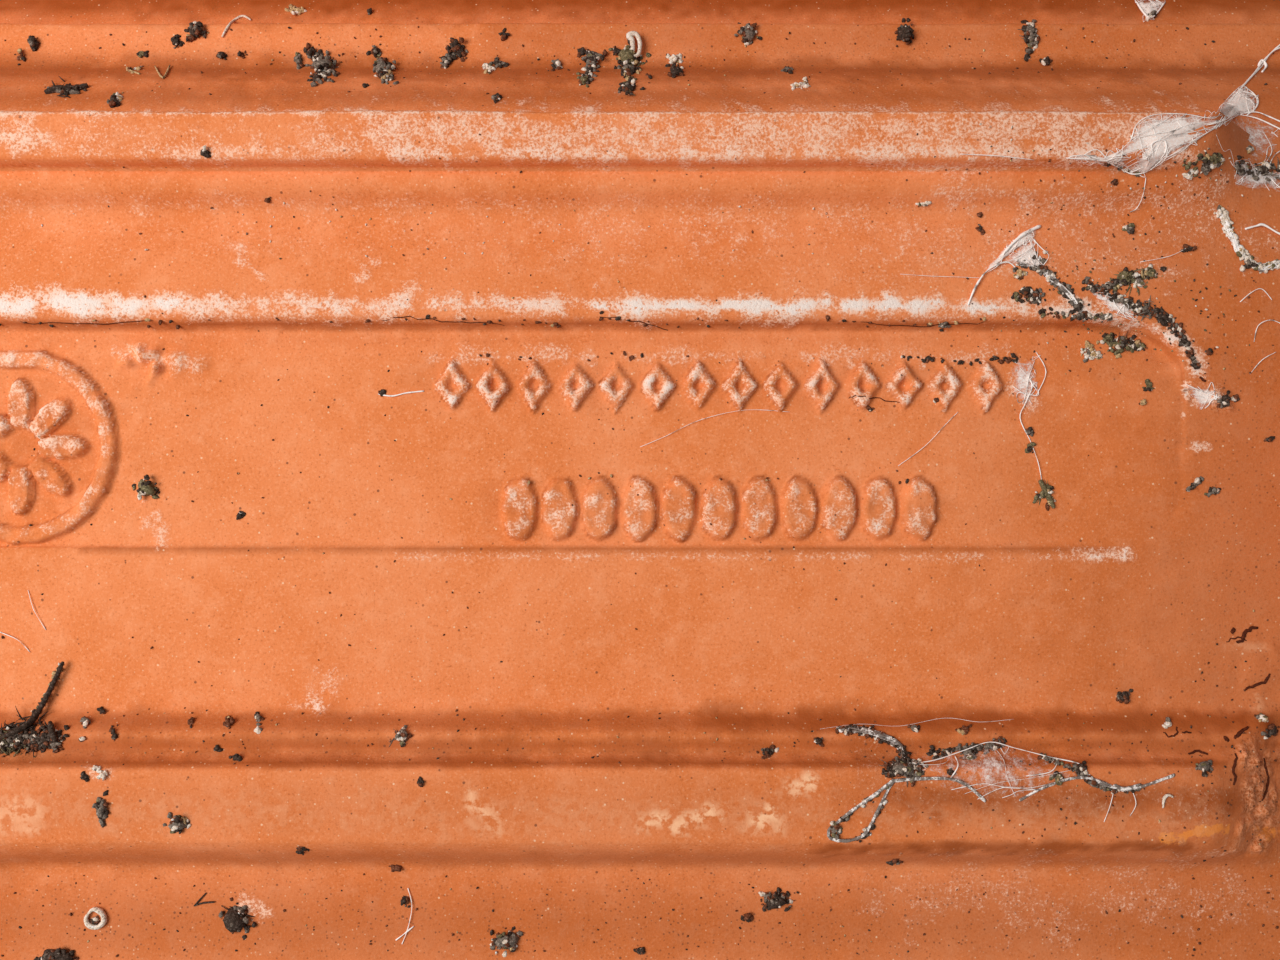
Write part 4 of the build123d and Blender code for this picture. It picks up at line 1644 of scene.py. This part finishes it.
@dataclass(frozen=True)
class Rope:
    """A lumpy rope of matted silk; the dust is the share of it that has gone dark."""

    line: tuple[tuple[float, float], ...]
    thick: float
    dust: float


@dataclass(frozen=True)
class Veil:
    """A torn sheet of old cobweb inside an outline of pixels."""

    outline: tuple[tuple[float, float], ...]
    lift: float = 1.5
    thick: float = 1.0
    fibres: int = 20


THREADS = table(
    Thread,
    (((1066, 158), (1084, 159), (1102, 160), (1118, 167), (1132, 174), (1148, 171), (1164, 159),
      (1183, 149), (1205, 134), (1222, 124), (1240, 114)), 1.0, 0.8),
    (((1240, 114), (1256, 112), (1270, 117), (1290, 126)), 1.3, 1.0),
    (((1131, 140), (1137, 124), (1153, 115), (1183, 114), (1215, 118), (1223, 104), (1236, 90),
      (1244, 84)), 0.8, 1.0),
    (((1150, 166), (1153, 154), (1152, 144), (1164, 140), (1166, 150), (1160, 160)), 1.2, 1.6),
    (((1244, 86), (1255, 95), (1257, 104), (1253, 112)), 0.9, 1.4),
    (((1238, 92), (1252, 76), (1266, 58), (1290, 36)), 1.5, 1.6),
    (((1236, 94), (1248, 80), (1262, 66)), 1.6, 1.4),
    (((1240, 90), (1256, 96), (1257, 106), (1246, 116)), 1.0, 1.2),
    (((1146, 177), (1143, 195), (1137, 208), (1130, 212)), 0.7, 0.8),
    (((1262, 66), (1272, 52), (1290, 44)), 1.0, 1.6),
    (((1236, 114), (1256, 118), (1274, 126), (1290, 134)), 1.2, 1.0),
    (((1135, 0), (1150, 18), (1165, 2)), 1.6, 1.5),
    (((1258, 66), (1262, 60), (1266, 66), (1262, 72)), 2.0, 1.4),
    (((1245, 229), (1256, 226), (1264, 225), (1280, 234), (1300, 240)), 2.0, 1.0),
    (((968, 305), (976, 286), (988, 270), (1006, 262), (1016, 268)), 2.0, 1.0),
    (((1000, 258), (1012, 244), (1024, 234), (1040, 226)), 3.0, 1.2),
    (((1046, 275), (1062, 286), (1074, 298), (1080, 310)), 2.4, 0.8),
    (((900, 274), (930, 276), (960, 277), (982, 278)), 0.5, 0.6),
    (((1140, 262), (1170, 256), (1190, 246)), 0.5, 0.6),
    (((1020, 368), (1032, 384), (1026, 402), (1020, 418), (1030, 440)), 1.2, 0.6),
    (((1036, 352), (1046, 372), (1036, 396)), 0.8, 0.6),
    (((1030, 440), (1038, 462), (1042, 482)), 0.8, 0.6),
    (((1240, 302), (1252, 292), (1262, 289), (1272, 300)), 0.8, 0.6),
    (((1254, 342), (1258, 326), (1270, 320), (1282, 324)), 0.8, 0.6),
    (((1250, 374), (1262, 360), (1276, 352)), 0.7, 0.6),
    (((1262, 130), (1272, 150), (1264, 168), (1276, 180)), 0.8, 1.0),
    (((1264, 168), (1250, 172), (1240, 180)), 0.6, 1.0),
    (((1266, 172), (1274, 156), (1282, 150)), 0.8, 1.2),
    (((1266, 172), (1278, 186), (1290, 190)), 0.7, 1.0),
    (((908, 764), (935, 760), (965, 750), (990, 742), (1015, 748), (1050, 757), (1080, 764),
      (1088, 775)), 1.2, 1.2), (((950, 779), (958, 766), (955, 756)), 1.2, 1.2),
    (((1026, 776), (1050, 772), (1058, 762)), 0.9, 1.0),
    (((1114, 790), (1110, 806), (1104, 822)), 0.7, 0.6),
    (((1132, 790), (1136, 804), (1130, 816)), 0.7, 0.6),
    (((640, 447), (666, 436), (700, 420), (745, 410), (790, 412)), 0.5, 0.5),
    (((898, 466), (925, 446), (946, 424), (958, 412)), 0.6, 0.5),
    (((378, 394), (392, 396), (406, 393), (424, 391)), 1.6, 0.3),
    (((28, 590), (34, 610), (46, 630)), 0.6, 0.5), (((0, 632), (18, 640), (30, 652)), 0.7, 0.5),
    (((820, 729), (860, 724), (900, 726), (945, 718), (980, 722), (1014, 719)), 0.35, 0.3),
    (((402, 944), (408, 928), (412, 906), (408, 888)), 0.9, 0.6),
    (((396, 940), (404, 934), (414, 926)), 1.2, 0.5), (((1034, 160), (1000, 156), (960, 154)), 0.8, 0.5),
)

ROPES = table(
    Rope,
    (((1219, 211), (1226, 222), (1231, 236), (1240, 252), (1250, 262)), 7.0, 0.30),
    (((1250, 262), (1262, 268), (1280, 264), (1300, 266)), 6.0, 0.36),
    (((1114, 786), (1126, 789), (1140, 786)), 4.0, 0.5),
    (((838, 730), (854, 729), (870, 731), (888, 739), (900, 748), (906, 764)), 6.0, 0.60),
    (((893, 780), (876, 794), (858, 806), (840, 820), (829, 830)), 2.4, 0.60),
    (((829, 830), (830, 838), (845, 841), (862, 836), (872, 822), (884, 798), (894, 780)), 2.1, 0.62),
    (((893, 781), (915, 779), (950, 779), (968, 786), (985, 801)), 2.0, 0.56),
    (((1020, 800), (1045, 787), (1075, 778), (1095, 780), (1120, 790)), 1.8, 0.58),
    (((1088, 775), (1102, 784), (1120, 788), (1135, 788), (1150, 784), (1174, 775)), 1.9, 0.58),
    (((1042, 270), (1056, 282), (1070, 296), (1080, 310)), 5.0, 0.56),
)

VEILS = table(
    Veil,
    (((1136, 124), (1153, 115), (1183, 113), (1215, 117), (1222, 123), (1205, 134), (1183, 148),
      (1164, 158), (1150, 170), (1140, 175), (1128, 172), (1112, 165), (1103, 159), (1121, 150),
      (1132, 138)), 1.2, 1.5, 34),
    (((1140, 158), (1150, 140), (1166, 142), (1170, 152), (1156, 164), (1146, 174),
      (1132, 172)), 1.6, 1.6, 12),
    (((1064, 159), (1084, 155), (1104, 157), (1122, 150), (1130, 158), (1122, 166),
      (1102, 163)), 0.8, 0.9, 16),
    (((1204, 121), (1216, 112), (1225, 100), (1236, 90), (1244, 84), (1251, 92), (1257, 100),
      (1255, 112), (1240, 114), (1228, 122), (1210, 132)), 1.8, 1.2, 22),
    (((1135, 0), (1165, 0), (1158, 14), (1150, 20), (1142, 13)), 1.2, 0.9, 10),
    (((980, 276), (992, 262), (1004, 248), (1020, 234), (1038, 226), (1034, 238), (1012, 252),
      (998, 264)), 1.0, 1.1, 8),
    (((1000, 262), (1014, 250), (1034, 234), (1036, 246), (1042, 262), (1046, 272),
      (1030, 268)), 1.0, 0.7, 16),
    (((1086, 288), (1112, 298), (1140, 310), (1136, 322), (1112, 312)), 0.8, 0.6, 10),
    (((900, 764), (930, 754), (965, 748), (1000, 744), (1050, 758), (1084, 776), (1060, 780),
      (1020, 796), (980, 800), (940, 786)), 1.0, 0.22, 8),
    (((1230, 160), (1262, 166), (1290, 176), (1280, 192), (1236, 186)), 0.8, 0.5, 10),
    (((1186, 384), (1214, 390), (1224, 402), (1200, 410)), 0.6, 0.8, 6),
    (((1214, 122), (1250, 113), (1280, 124), (1276, 150), (1250, 166), (1222, 168)), 0.5, 0.35, 4),
    (((1010, 360), (1034, 356), (1038, 390), (1030, 410), (1014, 396)), 0.6, 0.45, 8),
)


@dataclass
class Cobwebs:
    """The old cobwebs at the tile's head end: threads, ropes and torn sheets."""

    ground: Ground
    colour: Colour = (0.97, 0.89, 0.84)
    film: Colour = (0.92, 0.74, 0.66)
    dusty: Colour = (0.16, 0.11, 0.085)
    dust_layer: str = "dust"
    cover_layer: str = "cover"
    silk_dust: Grain = Grain(2.0, 3.0, 0.6, 9.0)
    rope_dust: Grain = Grain(1.0, 4.0, 0.7, 19.0)
    holes: Grain = Grain(1.2, 4.0, 0.65, 17.0)
    weave: Grain = Grain(0.30, 3.0, 0.65, 29.0)
    sheet_dust: Grain = Grain(1.0, 4.0, 0.65, 31.0)
    sheet_cuts: int = 4
    thread_steps: int = 5
    rope_steps: int = 8
    rope_strands: int = 22
    thread_rough: float = 0.6

    def build(self) -> None:
        """Adds the threads, the ropes and the sheets."""
        threads = bmesh.new()
        for thread in THREADS:
            self.add_thread(threads, thread)
        for number, veil in enumerate(VEILS):
            self.add_fibres(threads, veil, number)
        add_piece("cobweb_threads", threads, self.thread_material())
        ropes = bmesh.new()
        ropes.verts.layers.float.new(self.dust_layer)
        for number, rope in enumerate(ROPES):
            self.add_rope(ropes, rope, number)
        add_piece("cobweb_ropes", ropes, self.rope_material())
        sheets = bmesh.new()
        for number, veil in enumerate(VEILS):
            self.add_veil(sheets, veil, number)
        add_piece("cobweb_sheets", sheets, self.sheet_material())

    def add_thread(self, bm: BMesh, thread: Thread) -> None:
        """Adds one thread, thicker and thinner along its length.

        Args:
            bm: The mesh that it is added to.
            thread: The thread.
        """
        spots = smooth_line(thread.line, self.thread_steps)
        ends = len(spots) - 1
        line = [self.ground.at(x, y, thread.lift * MM * (0.15 + 0.5 * math.sin(math.pi * number / ends)))
                for number, (x, y) in enumerate(spots)]
        thick = self.ground.size(thread.thick, line[0]) / 2
        radii = [thick * (0.9 + self.thread_rough * noise.noise(place * 900)) for place in line]
        add_tube(bm, line, radii)

    def add_rope(self, bm: BMesh, rope: Rope, number: int) -> None:
        """Adds a rope of many twisted threads around an uneven core.

        Args:
            bm: The mesh that it is added to.
            rope: The rope.
            number: Its number, which its threads are drawn from.
        """
        spots = smooth_line(rope.line, self.rope_steps)
        line = [self.ground.at(x, y, 0.25 * MM) for x, y in spots]
        thick = self.ground.size(rope.thick, line[0]) / 2
        radii = [thick * (0.12 + 0.30 * math.sin(math.pi * (count + 0.4) / (len(line) - 0.2)) ** 0.5
                          + 0.3 * noise.noise(place * 800)) for count, place in enumerate(line)]
        core = bmesh.new()
        core_dust = core.verts.layers.float.new(self.dust_layer)
        add_tube(core, line, radii, 8)
        chance = Seed.ROPES.draws(number)
        for _ in range(self.rope_strands):
            phase, reach = chance.uniform(0, math.tau), rope.thick * chance.uniform(0.15, 0.55)
            twist = chance.uniform(0.5, 1.3)
            turns = [phase + twist * count / 2 for count in range(len(spots[::2]))]
            wander = tuple((x + reach * math.cos(turn), y + reach * math.sin(turn))
                           for turn, (x, y) in zip(turns, spots[::2]))
            self.add_thread(core, Thread(wander, chance.uniform(0.6, 1.7), chance.uniform(0.2, 0.9)))
        for vert in core.verts:
            vert[core_dust] = rope.dust
        merge(bm, core)

    def add_fibres(self, bm: BMesh, veil: Veil, number: int) -> None:
        """Adds fine fibres that run across a sheet from rim to rim.

        Args:
            bm: The mesh that they are added to.
            veil: The sheet.
            number: Its number, which its fibres are drawn from.
        """
        chance = Seed.FIBRES.draws(number)
        rim = np.array([*veil.outline, veil.outline[0]])
        middle = np.mean(veil.outline, axis=0)
        for _ in range(veil.fibres):
            ends = []
            for _ in range(2):
                side, share = chance.integers(len(rim) - 1), chance.uniform()
                ends.append(rim[side] * share + rim[side + 1] * (1 - share))
            start, end = ends
            bows = [start * (1 - share) + end * share + (middle - start) * 0.12 + chance.normal(0, 3.5, 2)
                    for share in (0.3, 0.6)]
            line = tuple(tuple(place) for place in (start, *bows, end))
            self.add_thread(bm, Thread(line, chance.uniform(0.3, 0.8), veil.lift * chance.uniform(0.3, 1.5)))

    def add_veil(self, bm: BMesh, veil: Veil, number: int) -> None:
        """Adds one sheet that sags between its corners, thinner towards its rim.

        Args:
            bm: The mesh that it is added to.
            veil: The sheet.
            number: Its number, which its folds depend on.
        """
        sheet = bmesh.new()
        cover = sheet.verts.layers.float.new(self.cover_layer)
        rim = [sheet.verts.new(self.ground.at(x, y, veil.lift * 0.3 * MM)) for x, y in veil.outline]
        middle = np.mean(veil.outline, axis=0)
        top = sheet.verts.new(self.ground.at(*middle, veil.lift * 0.6 * MM))
        for start, end in zip(rim, [*rim[1:], rim[0]]):
            sheet.faces.new((start, end, top))
        top[cover] = 1.0
        bmesh.ops.subdivide_edges(sheet, edges=sheet.edges[:], cuts=self.sheet_cuts, use_grid_fill=True)
        drift = Vector((number, 0, 0))
        for vert in sheet.verts:
            vert.co.z += 0.6 * MM * veil.lift * noise.noise(vert.co * 300 + drift) * vert[cover]
            vert[cover] *= veil.thick
        merge(bm, sheet)

    def thread_material(self) -> bpy.types.Material:
        """Makes pale dusty silk.

        Returns:
            The material.
        """
        look = Look("cobweb_threads")
        dust = look.grain(self.silk_dust)
        colour = look.mix(dust.ramp(0.54, 0.66) * 0.75, self.colour, self.dusty)
        return look.finish(colour, 0.8)

    def rope_material(self) -> bpy.types.Material:
        """Makes matted silk that has caught dust and soil.

        Returns:
            The material.
        """
        look = Look("cobweb_ropes")
        dust = look.grain(self.rope_dust)
        dark = (look.painted(self.dust_layer) * 1.1 + (dust - 0.5) * 2.2).ramp(0.42, 0.72)
        colour = look.mix(dark * 0.9, self.colour, self.dusty)
        return look.finish(colour, 0.85, dust, 0.4 * MM)

    def sheet_material(self) -> bpy.types.Material:
        """Makes silk sheets with holes, seen through in places and thin at the rim.

        Returns:
            The material.
        """
        look = Look("cobweb_sheets")
        holes = look.grain(self.holes)
        fine = look.grain(self.weave)
        dust = look.grain(self.sheet_dust)
        colour = look.mix(fine.ramp(0.42, 0.62), self.film, self.colour)
        colour = look.mix(dust.ramp(0.60, 0.72) * 0.65, colour, self.dusty)
        cover = look.painted(self.cover_layer)
        alpha = (cover * 4.4 + (holes - 0.5) * 4.0 + (fine - 0.5) * 1.6).ramp(0.0, 2.0) * 0.94
        look.feed(look.shader.inputs["Alpha"], alpha)
        return look.finish(colour, 0.8)


@dataclass(frozen=True)
class Studio:
    """The pale floor, the soft light and the plain world."""

    floor_colour: tuple[float, float, float, float] = (0.74, 0.73, 0.71, 1.0)
    floor_size: float = 6.0
    world_strength: float = 0.26
    key_watts: float = 6.1
    key_place: tuple[float, float, float] = (-0.46, -0.07, 0.60)
    key_size: float = 0.48
    key_colour: Colour = (1.0, 0.98, 0.95)
    key_aim: tuple[float, float, float] = (0.0, 0.0, 0.03)
    floor_roughness: float = 0.8

    def build(self) -> None:
        """Adds the floor, the lamps and the world."""
        self.add_floor()
        self.add_lamps()
        self.add_world()
        bpy.context.scene.view_settings.view_transform = "Standard"

    def add_floor(self) -> None:
        """Adds the floor that the tile lies on."""
        bm = bmesh.new()
        bmesh.ops.create_grid(bm, x_segments=1, y_segments=1, size=self.floor_size / 2)
        mesh = bpy.data.meshes.new("floor")
        bm.to_mesh(mesh)
        bm.free()
        floor = bpy.data.objects.new("floor", mesh)
        bpy.context.scene.collection.objects.link(floor)
        material = bpy.data.materials.new("floor")
        material.use_nodes = True
        shader = material.node_tree.nodes["Principled BSDF"]
        shader.inputs["Base Color"].default_value = self.floor_colour
        shader.inputs["Roughness"].default_value = self.floor_roughness
        mesh.materials.append(material)

    def add_lamps(self) -> None:
        """Adds a broad lamp over the foot end, where the daylight comes from."""
        data = bpy.data.lights.new("key", "AREA")
        data.shape = "RECTANGLE"
        data.size = self.key_size
        data.size_y = self.key_size
        data.energy = self.key_watts
        data.color = self.key_colour
        lamp = bpy.data.objects.new("key", data)
        lamp.location = self.key_place
        aim = Vector(self.key_aim) - lamp.location
        lamp.rotation_euler = aim.to_track_quat("-Z", "Y").to_euler()
        bpy.context.scene.collection.objects.link(lamp)

    def add_world(self) -> None:
        """Adds an even sky."""
        world = bpy.data.worlds.new("sky")
        world.use_nodes = True
        background = world.node_tree.nodes["Background"]
        background.inputs["Color"].default_value = (1.0, 1.0, 1.0, 1.0)
        background.inputs["Strength"].default_value = self.world_strength
        bpy.context.scene.world = world


def main() -> None:
    """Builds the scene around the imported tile."""
    logging.basicConfig(level=logging.INFO, format="%(message)s")
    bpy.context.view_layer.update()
    places = TilePlaces.from_record(frame["record"])
    view = CloseView(places)
    view.add_camera()
    Studio().build()
    tile = TileBody(places, view).build()
    tile.data.materials.append(ClayFinishAndPaintedLight().material())
    ground = Ground(view, tile)
    Dirt(ground).build()
    Cobwebs(ground).build()


if __name__ == "__main__":
    main()
